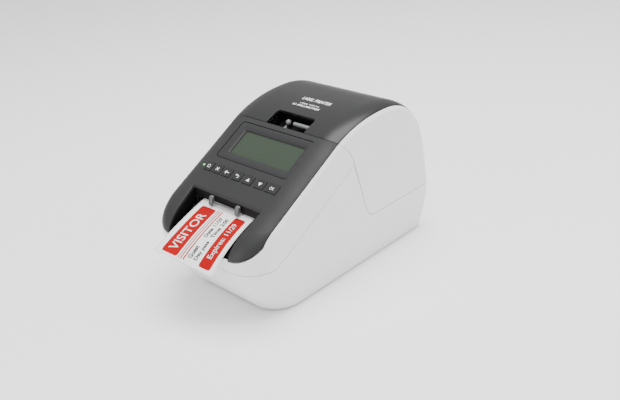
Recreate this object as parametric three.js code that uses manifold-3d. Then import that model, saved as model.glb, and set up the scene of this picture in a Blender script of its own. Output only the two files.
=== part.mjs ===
// Desktop label printer: white base, white front cover with a black sloping control panel,
// and a rear-hinged lid with a glossy black top. Inside: the print mechanism with its platen
// roller, gear train, thermal head and cutter, and the label roll on its spool.
//
// Frame: millimetres, +Z up, the label comes out towards -Y, +X is the right-hand side.
// The profile is drawn in the YZ plane. "Slope" coordinates are x, u (up the panel) and w
// (out of the panel), measured on the plane of the control panel.

import * as THREE from 'three';
import * as BufferGeometryUtils from 'three/addons/utils/BufferGeometryUtils.js';
import Module from 'manifold-3d';

const wasm = await Module();
wasm.setup();

// ---------------------------------------------------------------- driving dimensions

const width = 125.3;              // over the vertical sides
const depth = 234;                // nose to rear face, without the printed label
const height = 145;               // desk to the top of the crown
const footHeight = 1.5;           // rubber feet below the base
const wall = 2.5;                 // thickness of every moulded cover
const coverGap = 0.4;             // visible gap between two covers
const fitGap = 0.3;               // clearance between a piece and what holds it
const bearingGap = 0.08;          // radial clearance of a turning shaft

const panelAngle = THREE.MathUtils.degToRad(29.5);   // slope of the control panel
const panelDrop = 6.4;            // panel plane at y = 0, below the top of the crown
const crownFromRear = 68.5;       // top of the crown, ahead of the rear face
const noseDrop = 12.4;            // foremost point, below the panel plane carried on to the nose
const noseLength = 18.5;          // from the foremost point back to where the slope starts
const chinUndercut = 30.5;        // how far the foot of the front stands behind the nose
const rearUndercut = 4;           // the same at the rear
const sideTaper = 7.6;            // how far each side draws in at the foot
const partingHeight = 49;         // joint between base and lid
const frontSeamDrop = 21.4;       // joint between base and front cover at the nose, the same
const seamDrop = 37.6;            // that joint, measured straight down from the panel plane

const shoulderWidth = 18.5;       // rounded shoulder of slope and crown, across the width
const shoulderDepth = 8.5;        // the same, square to the surface
const noseCorner = 26;            // plan radius of the front corners
const rearCorner = 8;             // plan radius of the rear corners
const trimInset = 2.65;           // black panels stop this far inside the vertical sides

const labelWidth = 62;
const labelThickness = 0.4;
const labelReach = 18.5;          // how far the printed label stands out of the nose
const labelDroop = 4.5;           // its tip, below the foremost point of the nose
const rollRadius = 36;
const coreRadius = 13;
const coreWall = 1.5;

const platenRadius = 6;
const platenShaftRadius = 2.5;
const gearModule = 1;
const platenTeeth = 20;
const idlerTeeth = 24;
const pinionTeeth = 12;
const gearWidth = 4;

const buttonTravel = 0.8;
const crankRadius = 4;            // throw of the cutter crank
const bladeThickness = 1;

// ---------------------------------------------------------------- derived positions

const halfWidth = width / 2;
const noseY = -depth / 2;
const rearY = depth / 2;
const crownY = rearY - crownFromRear;
const panelHeightAtZero = height - panelDrop;
const slopeZ = y => panelHeightAtZero + y * Math.tan(panelAngle);
const slopeStartY = noseY + noseLength;
const noseHeight = slopeZ(noseY) - noseDrop;
const frontSeamHeight = slopeZ(noseY) - frontSeamDrop;
const trimHalf = halfWidth - trimInset;

const platenY = noseY + 59;
const nipZ = slopeZ(platenY) - 24;
const platenZ = nipZ - labelThickness / 2 - fitGap - platenRadius;
const cutterY = platenY - 19;
const outletY = noseY + 35;                       // back wall of the outlet recess
const outletHalf = labelWidth / 2 + 7.5;
const chuteZ = noseHeight + 2.5;                  // front edge of the outlet chute
const cheekIn = labelWidth / 2 + 7;               // inner face of the mechanism's side plates
const cheekOut = cheekIn + 2;

const rollY = crownY + 4;
const rollZ = partingHeight + 17;
const hingeRadius = 3;
const hingeY = rearY - hingeRadius;
const hingeZ = partingHeight + hingeRadius - 0.5;

// ---------------------------------------------------------------- colours

const paint = (name, color, roughness, metalness = 0) =>
  new THREE.MeshStandardMaterial({ name, color, roughness, metalness });

const whitePlastic = paint('white_plastic', 0xe6e6e6, 0.45);
const panelPlastic = paint('panel_plastic', 0x3c3c3e, 0.55);
const glossPlastic = paint('gloss_plastic', 0x232325, 0.15);
const innerPlastic = paint('inner_plastic', 0x1a1a1b, 0.7);
const greyPlastic = paint('grey_plastic', 0x8d8f92, 0.5);
const gearPlastic = paint('gear_plastic', 0xd9d4c4, 0.5);
const rubber = paint('rubber', 0x1c1c1c, 0.9);
const steel = paint('steel', 0xb4b7ba, 0.35, 1);
const aluminium = paint('aluminium', 0xc3c6c9, 0.4, 1);
const boardGreen = paint('board_green', 0x1f5a38, 0.6);
const paper = paint('paper', 0xf4f4f2, 0.8);
const cardboard = paint('cardboard', 0x9a7b55, 0.9);
const displayGlass = paint('display_glass', 0x4a5548, 0.1);
const ledGreen = paint('led_green', 0x5fe06a, 0.3);
const headCeramic = paint('head_ceramic', 0x6e4a32, 0.3);

// ---------------------------------------------------------------- shape helpers

const printer = new THREE.Group();

// A closed solid for cutting and joining, from any closed three.js geometry.
function solid(geometry) {
  const bare = geometry.clone();
  bare.deleteAttribute('normal');
  bare.deleteAttribute('uv');
  const merged = BufferGeometryUtils.mergeVertices(bare, 1e-4);
  const mesh = new wasm.Mesh({
    numProp: 3,
    vertProperties: new Float32Array(merged.attributes.position.array),
    triVerts: new Uint32Array(merged.index.array),
  });
  return new wasm.Manifold(mesh);
}

// Adds a solid or a geometry to the printer as one named piece.
function piece(name, shape, material) {
  let geometry = shape;
  if (!shape.isBufferGeometry) {
    const mesh = shape.getMesh();
    geometry = new THREE.BufferGeometry();
    geometry.setAttribute('position', new THREE.BufferAttribute(mesh.vertProperties, 3));
    geometry.setIndex(new THREE.BufferAttribute(mesh.triVerts, 1));
  }
  const node = new THREE.Mesh(geometry, material);
  node.name = name;
  printer.add(node);
  return node;
}

function box(x0, x1, y0, y1, z0, z1) {
  const block = new THREE.BoxGeometry(x1 - x0, y1 - y0, z1 - z0);
  block.translate((x0 + x1) / 2, (y0 + y1) / 2, (z0 + z1) / 2);
  return solid(block);
}

// Outline in (y, z), carried along x.
function alongX(outline, x0, x1) {
  const shape = new THREE.Shape(outline.map(([y, z]) => new THREE.Vector2(y, z)));
  const prism = new THREE.ExtrudeGeometry(shape, { depth: x1 - x0, bevelEnabled: false });
  prism.applyMatrix4(new THREE.Matrix4().set(0, 0, 1, x0, 1, 0, 0, 0, 0, 1, 0, 0, 0, 0, 0, 1));
  return solid(prism);
}

// Outline in (x, y), carried up z.
function alongZ(outline, z0, z1) {
  const shape = new THREE.Shape(outline.map(([x, y]) => new THREE.Vector2(x, y)));
  const prism = new THREE.ExtrudeGeometry(shape, { depth: z1 - z0, bevelEnabled: false });
  return solid(prism.translate(0, 0, z0));
}

// Rectangle with round corners, in the plane of the panel, from depth w0 to w1.
function slab(x0, x1, u0, u1, radius, w0, w1) {
  const shape = new THREE.Shape();
  shape.absarc(x1 - radius, u0 + radius, radius, -Math.PI / 2, 0);
  shape.absarc(x1 - radius, u1 - radius, radius, 0, Math.PI / 2);
  shape.absarc(x0 + radius, u1 - radius, radius, Math.PI / 2, Math.PI);
  shape.absarc(x0 + radius, u0 + radius, radius, Math.PI, Math.PI * 1.5);
  const curveSegments = radius > 1.5 ? 4 : 1;
  const settings = { depth: w1 - w0, bevelEnabled: false, curveSegments };
  const prism = new THREE.ExtrudeGeometry(shape, settings);
  prism.translate(0, 0, w0);
  prism.rotateX(panelAngle);
  return solid(prism.translate(0, 0, panelHeightAtZero));
}

// Cylinders along each axis; y and z (or x and y ...) give the centre line.
function rodX(radius, x0, x1, y, z, sides = 24) {
  const rod = new THREE.CylinderGeometry(radius, radius, x1 - x0, sides);
  rod.rotateZ(-Math.PI / 2);
  return solid(rod.translate((x0 + x1) / 2, y, z));
}

function rodY(radius, y0, y1, x, z, sides = 24) {
  const rod = new THREE.CylinderGeometry(radius, radius, y1 - y0, sides);
  return solid(rod.translate(x, (y0 + y1) / 2, z));
}

function rodZ(radius, z0, z1, x, y, sides = 24) {
  const rod = new THREE.CylinderGeometry(radius, radius, z1 - z0, sides);
  rod.rotateX(Math.PI / 2);
  return solid(rod.translate(x, y, (z0 + z1) / 2));
}

const lerp = THREE.MathUtils.lerp;
const onSlope = (u, w = 0) => [
  u * Math.cos(panelAngle) - w * Math.sin(panelAngle),
  panelHeightAtZero + u * Math.sin(panelAngle) + w * Math.cos(panelAngle),
];

// ---------------------------------------------------------------- outer form

// The whole housing is one form. Its middle follows the side profile; towards each side the
// surface turns down over a quarter-ellipse shoulder, `across` wide and `inward` deep, and ends
// on the flat side. A chain runs from the foot to the top of the crown, front and rear.
const panelNormal = [-Math.sin(panelAngle), Math.cos(panelAngle)];
const slopeInward = [shoulderDepth / Math.sin(panelAngle), 0];
const squareInward = [-shoulderDepth * panelNormal[0], -shoulderDepth * panelNormal[1]];
const slopeEndY = -12;

const v2 = (y, z) => new THREE.Vector2(y, z);
const noseTop = [slopeStartY, slopeZ(slopeStartY)];
const slopeEnd = [slopeEndY, slopeZ(slopeEndY)];
const shoulderZ = height - 57;                     // where the rear face starts to round over

const frontChain = [
  { curve: new THREE.QuadraticBezierCurve(v2(noseY + chinUndercut, footHeight),
      v2(noseY, noseHeight * 0.6), v2(noseY, noseHeight)),
    steps: 8, inward: [[noseCorner, 0], [noseCorner, 0]], across: [noseCorner, noseCorner] },
  { curve: new THREE.QuadraticBezierCurve(v2(noseY, noseHeight), v2(noseY, slopeZ(noseY)),
      v2(...noseTop)),
    steps: 7, inward: [[noseCorner, 0], slopeInward], across: [noseCorner, shoulderWidth] },
  { curve: new THREE.LineCurve(v2(...noseTop), v2(...slopeEnd)),
    steps: 5, inward: [slopeInward, squareInward], across: [shoulderWidth, shoulderWidth] },
  { curve: new THREE.CubicBezierCurve(v2(...slopeEnd), v2(slopeEndY + 9, slopeZ(slopeEndY) + 4.4),
      v2(crownY - 31, height), v2(crownY, height)),
    steps: 8, inward: [squareInward, [0, -shoulderDepth]], across: [shoulderWidth, shoulderWidth] },
];

const rearChain = [
  { curve: new THREE.LineCurve(v2(rearY - rearUndercut, footHeight), v2(rearY, partingHeight)),
    steps: 8, inward: [[-rearCorner, 0], [-rearCorner, 0]], across: [rearCorner, rearCorner] },
  { curve: new THREE.LineCurve(v2(rearY, partingHeight), v2(rearY - 6, shoulderZ)),
    steps: 6, inward: [[-rearCorner, 0], [-rearCorner, -3]], across: [rearCorner, rearCorner + 2] },
  { curve: new THREE.CubicBezierCurve(v2(rearY - 6, shoulderZ), v2(rearY - 11.5, height - 23),
      v2(crownY + 35, height), v2(crownY, height)),
    steps: 14, inward: [[-rearCorner, -3], [0, -shoulderDepth]],
    across: [rearCorner + 2, shoulderWidth] },
];

// Points of a chain with their outward direction, moved inwards by `inset`.
function sampleChain(chain, outwardSign, inset) {
  const stations = [];
  chain.forEach(({ curve, steps, inward, across }, index) => {
    const first = index === 0 ? 0 : 1;
    for (let i = first; i <= steps; i += 1) {
      const t = i / steps;
      const at = curve.getPoint(t);
      const along = curve.getTangent(t);
      const out = [-along.y * outwardSign, along.x * outwardSign];
      const reach = [lerp(inward[0][0], inward[1][0], t), lerp(inward[0][1], inward[1][1], t)];
      const length = Math.hypot(...reach);
      const shrink = Math.max(length - inset, 0.5) / length;
      stations.push({
        y: at.x - out[0] * inset,
        z: Math.max(at.y - out[1] * inset, footHeight + inset),
        inward: [reach[0] * shrink, reach[1] * shrink],
        across: Math.max(lerp(across[0], across[1], t) - inset, 0.5),
      });
    }
  });
  return stations;
}

// Half width of the housing at height z: upright sides that draw in towards the foot.
function sideFactor(z) {
  const below = Math.max(0, (partingHeight - z) / (partingHeight - footHeight));
  return 1 - (sideTaper / halfWidth) * below * below;
}

function housingForm(inset) {
  const front = sampleChain(frontChain, 1, inset);
  const rear = sampleChain(rearChain, -1, inset);
  front[0].z = footHeight + inset;
  rear[0].z = footHeight + inset;
  rear[rear.length - 1] = front[front.length - 1];
  const loop = [...front, ...rear.slice(0, -1).reverse()];
  const turns = 5;
  const half = halfWidth - inset;
  const vertices = [];
  const ring = 2 * (turns + 1);
  for (const station of loop) {
    for (let k = 0; k < ring; k += 1) {
      const side = k <= turns ? -1 : 1;
      const step = k <= turns ? turns - k : k - turns - 1;
      const angle = (step / turns) * Math.PI / 2;
      const y = station.y + station.inward[0] * (1 - Math.cos(angle));
      const z = station.z + station.inward[1] * (1 - Math.cos(angle));
      const x = half - station.across + station.across * Math.sin(angle);
      vertices.push(side * x * sideFactor(z), y, z);
    }
  }
  const faces = [];
  const quad = (a, b, c, d) => faces.push(a, b, c, a, c, d);
  const count = loop.length;
  for (let i = 0; i < count; i += 1) {
    const next = (i + 1) % count;
    for (let k = 0; k < ring - 1; k += 1) {
      quad(i * ring + k, i * ring + k + 1, next * ring + k + 1, next * ring + k);
    }
  }
  const top = front.length - 1;
  for (let i = 0; i < top; i += 1) {
    const rearLow = i === 0 ? count - 1 : count - 1 - i;
    const rearHigh = rearLow - 1;
    for (const [k, flip] of [[0, false], [ring - 1, true]]) {
      const corner = [i, i + 1, rearHigh, rearLow].map(s => s * ring + k);
      if (i + 1 === rearHigh) {
        faces.push(...(flip ? [corner[0], corner[3], corner[1]] : [corner[0], corner[1], corner[3]]));
      } else if (flip) {
        quad(corner[0], corner[3], corner[2], corner[1]);
      } else {
        quad(...corner);
      }
    }
  }
  const geometry = new THREE.BufferGeometry();
  geometry.setAttribute('position', new THREE.BufferAttribute(new Float32Array(vertices), 3));
  geometry.setIndex(faces);
  return solid(geometry);
}

const outerForm = housingForm(0);
const innerForm = housingForm(wall);
const shell = outerForm.subtract(innerForm);

// ---------------------------------------------------------------- joints between the covers

const far = 400;

// Joint line of base and front cover, `shift` above its middle: level round the nose, then
// parallel to the panel up to the lid.
function seamLine(shift) {
  const seamZ = y => slopeZ(y) - seamDrop;
  const bend = noseY + (frontSeamHeight - seamZ(noseY)) / Math.tan(panelAngle);
  const run = 14;
  const curve = new THREE.QuadraticBezierCurve(v2(bend - run, frontSeamHeight + shift),
    v2(bend, frontSeamHeight + shift), v2(bend + run, seamZ(bend + run) + shift));
  return curve.getPoints(6).map(p => [p.x, p.y]);
}

// Front and lower edge of the lid, `shift` inside its middle: over the shoulder in a curve,
// down the side almost upright, then round a corner and level to the rear.
const lidTopY = slopeEndY - 0.5;
const lidKneeY = 7.1;
const lidKneeZ = slopeZ(lidKneeY) - seamDrop + 2;
const lidCornerY = lidKneeY + (lidKneeZ - partingHeight) / 3.4;

function lidLine(shift) {
  const top = new THREE.CubicBezierCurve(v2(lidTopY + shift, slopeZ(lidTopY)),
    v2(lidTopY + 9 + shift, slopeZ(lidTopY) - 7), v2(lidKneeY - 4 + shift, lidKneeZ + 12),
    v2(lidKneeY + shift, lidKneeZ));
  const corner = new THREE.QuadraticBezierCurve(v2(lidCornerY - 2.4 + shift, partingHeight + 8),
    v2(lidCornerY + shift, partingHeight + shift), v2(lidCornerY + 10, partingHeight + shift));
  return [...top.getPoints(6), ...corner.getPoints(5)].map(p => [p.x, p.y]);
}

const seamMeet = shift => [lidKneeY + 1, slopeZ(lidKneeY + 1) - seamDrop + shift];

function lidRegion(shift) {
  const above = [lidTopY + shift - far * Math.sin(panelAngle), slopeZ(lidTopY) + far * Math.cos(panelAngle)];
  return alongX([...lidLine(shift), [far, partingHeight + shift], [far, above[1]], above], -far, far);
}

function belowSeam(shift) {
  const seam = seamLine(shift);
  const meet = seamMeet(shift);
  const beyond = [far, meet[1] + (far - meet[0]) * Math.tan(panelAngle)];
  return alongX([[-far, -far], [far, -far], beyond, ...seam.reverse(), [-far, seam[seam.length - 1][1]]],
    -far, far);
}

const gap = coverGap / 2;
const lidForm = lidRegion(gap);
const bodyForm = lidRegion(-gap);
const lidShell = shell.intersect(lidForm);
const bodyShell = shell.subtract(bodyForm);

// Black trim: everything above the ear line and inside the trim edge.
function trimRegion(shift) {
  const earLine = [[noseY - 20, noseHeight - 12.5 - shift], [noseY + 29, noseHeight + 22 - shift]];
  const rearEdge = [[far, height - 50 - shift], [rearY - 30, height - 50 - shift]];
  const low = [rearY - 30, footHeight + wall + 60];
  return alongX([...earLine, low, ...rearEdge.reverse(), [far, far], [noseY - 20, far]],
    -trimHalf - shift, trimHalf + shift);
}

const trimInside = trimRegion(-gap);
const trimOutside = trimRegion(gap);

// ---------------------------------------------------------------- base

const footX = 40;
const footFrontY = noseY + 52;
const footRearY = rearY - 22;
const footRadius = 7;
const screwX = 28;
const screwHead = 3;              // radius of a case screw's head, and of its shank
const screwShank = 1.5;
const portFaceY = rearY - rearUndercut - 1;
const portZ = 22;
const ports = {
  power_inlet: { x: -34, z: portZ, w: 22, h: 13, hole: [16, 8] },
  network_port: { x: 2, z: portZ, w: 16, h: 14, hole: [11, 8] },
  usb_b_port: { x: 24, z: portZ, w: 13, h: 12.5, hole: [8, 7.5] },
  usb_a_port: { x: 42, z: portZ, w: 14, h: 8, hole: [11, 4.6] },
};

const hingeRelief = rodX(hingeRadius + 2 * fitGap, -halfWidth, halfWidth, hingeY, hingeZ, 20);
const lugX = 40;
const lugWidth = 4;
const pinRadius = 1.4;
const hingeLugs = [-1, 1].map(side => {
  const x0 = side * lugX - lugWidth / 2;
  const upright = box(x0, x0 + lugWidth, hingeY - 3, hingeY + 1.5, partingHeight - 14, hingeZ);
  const eye = rodX(hingeRadius - 0.1, x0, x0 + lugWidth, hingeY - 0.1, hingeZ, 20);
  return upright.add(eye);
});

let base = bodyShell.intersect(belowSeam(-gap)).subtract(hingeRelief);
for (const lug of hingeLugs) {
  base = base.add(lug.intersect(outerForm));
}
base = base.subtract(rodX(pinRadius + bearingGap, -lugX - lugWidth, lugX + lugWidth, hingeY, hingeZ, 20));
for (const { x, z, w, h } of Object.values(ports)) {
  base = base.subtract(box(x - w / 2 - fitGap, x + w / 2 + fitGap, portFaceY - 8, rearY + 5,
    z - h / 2 - fitGap, z + h / 2 + fitGap));
}
for (const x of [-footX, footX]) {
  for (const y of [footFrontY, footRearY]) {
    base = base.subtract(rodZ(footRadius + fitGap, footHeight - 1, footHeight + 1.5, x, y));
  }
}
for (const x of [-screwX, screwX]) {
  for (const y of [footFrontY, footRearY]) {
    base = base.subtract(rodZ(screwHead + fitGap, footHeight - 1, footHeight + 1.4, x, y, 16));
    base = base.subtract(rodZ(screwShank + fitGap, footHeight - 1, footHeight + wall + 1, x, y, 16));
  }
}
piece('base_cover', base, whitePlastic);

['left', 'right'].forEach((side, i) => {
  const x = i === 0 ? -footX : footX;
  [['front', footFrontY], ['rear', footRearY]].forEach(([end, y]) => {
    piece(`foot_${end}_${side}`, rodZ(footRadius, 0, footHeight + 1.2, x, y), rubber);
  });
});

for (const [name, { x, z, w, h, hole }] of Object.entries(ports)) {
  const body = box(x - w / 2, x + w / 2, portFaceY - 14, portFaceY + 1.6, z - h / 2, z + h / 2);
  const socket = box(x - hole[0] / 2, x + hole[0] / 2, portFaceY - 10, portFaceY + 6,
    z - hole[1] / 2, z + hole[1] / 2);
  piece(name, body.subtract(socket), name === 'power_inlet' ? innerPlastic : steel);
}

// ---------------------------------------------------------------- front cover and panel

const frontShell = bodyShell.subtract(belowSeam(gap));
piece('front_cover', frontShell.subtract(trimOutside), whitePlastic);

const display = { x0: -32.5, x1: 37.5, u0: -53, u1: -28 };
const buttonU = -72.6;
const buttonRows = [
  ['power_button', -40.4, 8.6], ['cancel_button', -29.4, 9.2], ['feed_cut_button', -17.3, 9.6],
  ['back_button', -4.8, 9.6], ['up_button', 8.6, 10.2], ['down_button', 22.4, 10.6],
  ['ok_button', 36.2, 12.2],
];
const buttonHeight = 8.4;
const ledX = -47.6;

// The recess narrows from the panel towards the nose.
const recessTop = outletHalf + 2.5;
const recessFoot = outletHalf - 2;
const recess = alongZ([[-recessTop, outletY], [-recessFoot, noseY - 5], [recessFoot, noseY - 5],
  [recessTop, outletY]], 0, height);
const recessWalls = alongZ([[-recessTop - 2, outletY + 2], [-recessFoot - 2, noseY - 5],
  [recessFoot + 2, noseY - 5], [recessTop + 2, outletY + 2]], chuteZ - 2, height).subtract(recess);
const lintelFoot = nipZ + 1.6;
const wallZone = alongX([[noseY + 3.5, noseHeight + 3.5], [outletY - 2, nipZ - 6], [outletY, lintelFoot],
  [outletY + 2.1, lintelFoot], [outletY + 2.1, height], [noseY + 3.5, height]], -halfWidth, halfWidth);

let panel = frontShell.intersect(trimInside).subtract(recess);
panel = panel.add(recessWalls.intersect(housingForm(0.6)).intersect(wallZone).intersect(trimInside));
panel = panel.subtract(slab(display.x0, display.x1, display.u0, display.u1, 1.2, -9, 5));
for (const [, x, w] of buttonRows) {
  panel = panel.subtract(slab(x - w / 2 - fitGap, x + w / 2 + fitGap, buttonU - buttonHeight / 2 - fitGap,
    buttonU + buttonHeight / 2 + fitGap, 1, -9, 5));
}
panel = panel.subtract(slab(ledX - 1.4, ledX + 1.4, buttonU - 1.4, buttonU + 1.4, 1.3, -9, 5));
piece('front_panel', panel, panelPlastic);

piece('lcd_window', slab(display.x0 + fitGap, display.x1 - fitGap, display.u0 + fitGap,
  display.u1 - fitGap, 1, -1.9, -0.7), displayGlass);
piece('lcd_module', slab(display.x0 - 3, display.x1 + 3, display.u0 - 3, display.u1 + 3, 1,
  -7, -wall - fitGap), greyPlastic);
piece('status_led', slab(ledX - 1.1, ledX + 1.1, buttonU - 1.1, buttonU + 1.1, 1, -7.4, 0), ledGreen);

// Each button has a flange behind the panel and a stem that works its switch.
const switchDepth = -7.6;
for (const [name, x, w] of buttonRows) {
  const cap = slab(x - w / 2, x + w / 2, buttonU - buttonHeight / 2, buttonU + buttonHeight / 2, 0.8,
    -wall - fitGap - 1, 0.5);
  const flange = slab(x - w / 2 - 0.4, x + w / 2 + 0.4, buttonU - buttonHeight / 2 - 1,
    buttonU + buttonHeight / 2 + 1, 0.8, -wall - fitGap - 1.2, -wall - fitGap);
  const stem = slab(x - 1.5, x + 1.5, buttonU - 1.5, buttonU + 1.5, 0.5,
    switchDepth + buttonTravel + fitGap, -wall - fitGap - 1);
  piece(name, cap.add(flange).add(stem), panelPlastic);
}

let panelBoard = slab(-50, 46, -80, -60, 1, -9.4, switchDepth - 0.2);
panelBoard = panelBoard.add(slab(-50, -38, -62, -22, 1, -9.4, switchDepth - 0.2));
panelBoard = panelBoard.add(slab(-50, 46, -59, -22, 1, -9.4, switchDepth - 0.2));
piece('panel_board', panelBoard, boardGreen);

// ---------------------------------------------------------------- lid

const notch = { x0: -19.5, x1: 25, u0: -30, u1: 3.5 };
const notchCut = slab(notch.x0, notch.x1, notch.u0, notch.u1, 3.5, -9, 12);
const lidTop = lidShell.intersect(trimInside).subtract(notchCut);
piece('lid_top', lidTop, glossPlastic);

const barrelHalf = lugX - lugWidth / 2 - fitGap;
const hingeBarrel = rodX(hingeRadius, -barrelHalf, barrelHalf, hingeY, hingeZ, 20);
const bridge = box(-barrelHalf, barrelHalf, hingeY - 0.5, hingeY + 2.6, hingeZ, hingeZ + 6);
const lugClearance = hingeLugs.map((_, i) => {
  const x = (i === 0 ? -1 : 1) * lugX;
  return box(x - lugWidth / 2 - fitGap, x + lugWidth / 2 + fitGap, hingeY - 6, rearY + 2,
    partingHeight - 2, hingeZ + 4);
});
let skirt = lidShell.subtract(trimOutside);
for (const zone of lugClearance) skirt = skirt.subtract(zone);
skirt = skirt.add(hingeBarrel).add(bridge.intersect(outerForm));
const lowRearCorner = box(-halfWidth, halfWidth, hingeY - 0.5, rearY + 2, 0, hingeZ)
  .subtract(rodX(hingeRadius, -halfWidth, halfWidth, hingeY, hingeZ, 20));
skirt = skirt.subtract(lowRearCorner);
skirt = skirt.subtract(rodX(pinRadius + bearingGap, barrelHalf - 8, barrelHalf + 1, hingeY, hingeZ, 20));
skirt = skirt.subtract(rodX(pinRadius + bearingGap, -barrelHalf - 1, -barrelHalf + 8, hingeY, hingeZ, 20));
piece('lid_skirt', skirt, whitePlastic);

['left', 'right'].forEach((side, i) => {
  const sign = i === 0 ? -1 : 1;
  const inner = sign * (barrelHalf - 7);
  const outer = sign * (lugX + lugWidth / 2);
  piece(`hinge_pin_${side}`, rodX(pinRadius, Math.min(inner, outer), Math.max(inner, outer),
    hingeY, hingeZ, 20), steel);
  const catchX = sign * (halfWidth - wall - 3.4);
  const hook = alongX([[lidKneeY + 8, lidKneeZ - 14], [lidKneeY + 12, lidKneeZ - 14],
    [lidKneeY + 12, lidKneeZ + 14], [lidKneeY + 8, lidKneeZ + 14], [lidKneeY + 8, lidKneeZ - 7],
    [lidKneeY + 5, lidKneeZ - 9]], catchX - 2, catchX + 2);
  piece(`lid_catch_${side}`, hook, innerPlastic);
});

// Black tray seen through the notch, with a grey guide bar lying in it.
const trayWall = 1.5;
const trayU0 = notch.u0 + 17;
const trayBottom = -15;
const trayOutside = slab(notch.x0 - trayWall, notch.x1 + trayWall, trayU0, notch.u1 + trayWall, 3,
  trayBottom, -wall - 4.6);
const trayInside = slab(notch.x0, notch.x1, trayU0 + trayWall, notch.u1, 2.5, trayBottom + trayWall, 2);
piece('sight_tray', trayOutside.subtract(trayInside), innerPlastic);
const [ballY, ballZ] = onSlope(-2.2, -9.5);
const guideBar = slab(-8, notch.x1 - 1.5, -5.2, -1.8, 1.2, -13, -9);
const guideRib = slab(notch.x0 + 18.5, notch.x1 - 1.5, -5.2, -1.8, 1.2, -10, -6.5);
const ballRadius = 2.6;
const ball = solid(new THREE.SphereGeometry(ballRadius, 16, 10).translate(-7, ballY, ballZ));
piece('sight_guide', guideBar.add(guideRib).add(ball), greyPlastic);

// ---------------------------------------------------------------- print mechanism

const gearX0 = -cheekOut - 1 - gearWidth;
const gearX1 = -cheekOut - 1;
const pitch = teeth => (teeth * gearModule) / 2;

// Spur gear with straight-flanked teeth, turned so that a tooth, or with `offset` 0.5 a gap,
// points along `angle`.
function gear(teeth, y, z, angle, offset, bore) {
  const outline = [];
  const root = pitch(teeth) - 1.15 * gearModule;
  const tip = pitch(teeth) + 0.85 * gearModule;
  const widths = [[root, 0.3], [tip, 0.13]];
  for (let i = 0; i < teeth; i += 1) {
    const middle = angle + ((i + offset) / teeth) * 2 * Math.PI;
    const corner = (r, part) => {
      const a = middle + (part / teeth) * 2 * Math.PI;
      outline.push([y + r * Math.cos(a), z + r * Math.sin(a)]);
    };
    corner(widths[0][0], -widths[0][1]);
    corner(widths[1][0], -widths[1][1]);
    corner(widths[1][0], widths[1][1]);
    corner(widths[0][0], widths[0][1]);
  }
  const blank = alongX(outline, gearX0, gearX1);
  return bore > 0 ? blank.subtract(rodX(bore, gearX0 - 1, gearX1 + 1, y, z)) : blank;
}

const meshGap = 0.15;
const idlerAngle = THREE.MathUtils.degToRad(-70);
const idlerReach = pitch(platenTeeth) + pitch(idlerTeeth) + meshGap;
const idlerY = platenY + idlerReach * Math.cos(idlerAngle);
const idlerZ = platenZ + idlerReach * Math.sin(idlerAngle);
const pinionAngle = THREE.MathUtils.degToRad(-105);
const pinionReach = pitch(idlerTeeth) + pitch(pinionTeeth) + meshGap;
const pinionY = idlerY + pinionReach * Math.cos(pinionAngle);
const pinionZ = idlerZ + pinionReach * Math.sin(pinionAngle);
const motorRadius = 11;
const frameFootZ = 16;
const postRadius = 2;

const cheek = [[cutterY - 4, frameFootZ], [platenY + 22, frameFootZ], [platenY + 22, nipZ - 6],
  [platenY + 14, nipZ + 10.2], [platenY - 2, nipZ + 10.2], [cutterY - 4, nipZ + 1]];
const springY = platenY + 2;
let frame = alongX(cheek, -cheekOut, -cheekIn).add(alongX(cheek, cheekIn, cheekOut));
frame = frame.add(box(-cheekOut, cheekOut, cutterY + 2, platenY + 22, frameFootZ, frameFootZ + 2));
const springBarZ = nipZ + 8.6;
frame = frame.add(box(-cheekOut, cheekOut, springY - 3, springY + 3, springBarZ, springBarZ + 1.6));
frame = frame.subtract(rodX(platenShaftRadius + bearingGap, -cheekOut - 1, cheekOut + 1, platenY, platenZ));
frame = frame.subtract(rodX(2.2, -cheekOut - 1, -cheekIn + 1, pinionY, pinionZ));
frame = frame.add(rodX(postRadius, gearX0 - 1, -cheekIn, idlerY, idlerZ));
piece('mechanism_frame', frame, steel);

const platenHalf = labelWidth / 2 + 2;
const platenSleeve = rodX(platenRadius, -platenHalf, platenHalf, platenY, platenZ, 32)
  .subtract(rodX(platenShaftRadius + fitGap, -platenHalf - 1, platenHalf + 1, platenY, platenZ));
piece('platen_roller', platenSleeve, rubber);
piece('platen_shaft', rodX(platenShaftRadius, gearX0 - 2, cheekOut + 2, platenY, platenZ), steel);
piece('platen_gear', gear(platenTeeth, platenY, platenZ, idlerAngle, 0, platenShaftRadius + fitGap),
  gearPlastic);
piece('idler_gear', gear(idlerTeeth, idlerY, idlerZ, idlerAngle + Math.PI, 0.5, postRadius + bearingGap),
  gearPlastic);
// The idler's own teeth fix the phase of the pinion that meets them.
const idlerPhase = ((pinionAngle - idlerAngle - Math.PI) * idlerTeeth) / (2 * Math.PI) - 0.5;
const pinionOffset = 0.5 + (idlerPhase - Math.floor(idlerPhase));
const pinion = gear(pinionTeeth, pinionY, pinionZ, pinionAngle + Math.PI, pinionOffset, 0);
piece('motor_pinion', pinion.add(rodX(1.5, gearX1 - 1, -cheekIn + 2, pinionY, pinionZ, 16)), steel);

const motorX0 = -cheekIn + fitGap;
let motor = rodX(motorRadius, motorX0, motorX0 + 22, pinionY, pinionZ, 28);
motor = motor.subtract(rodX(2, motorX0 - 1, motorX0 + 3, pinionY, pinionZ, 16));
piece('feed_motor', motor, steel);

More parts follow.
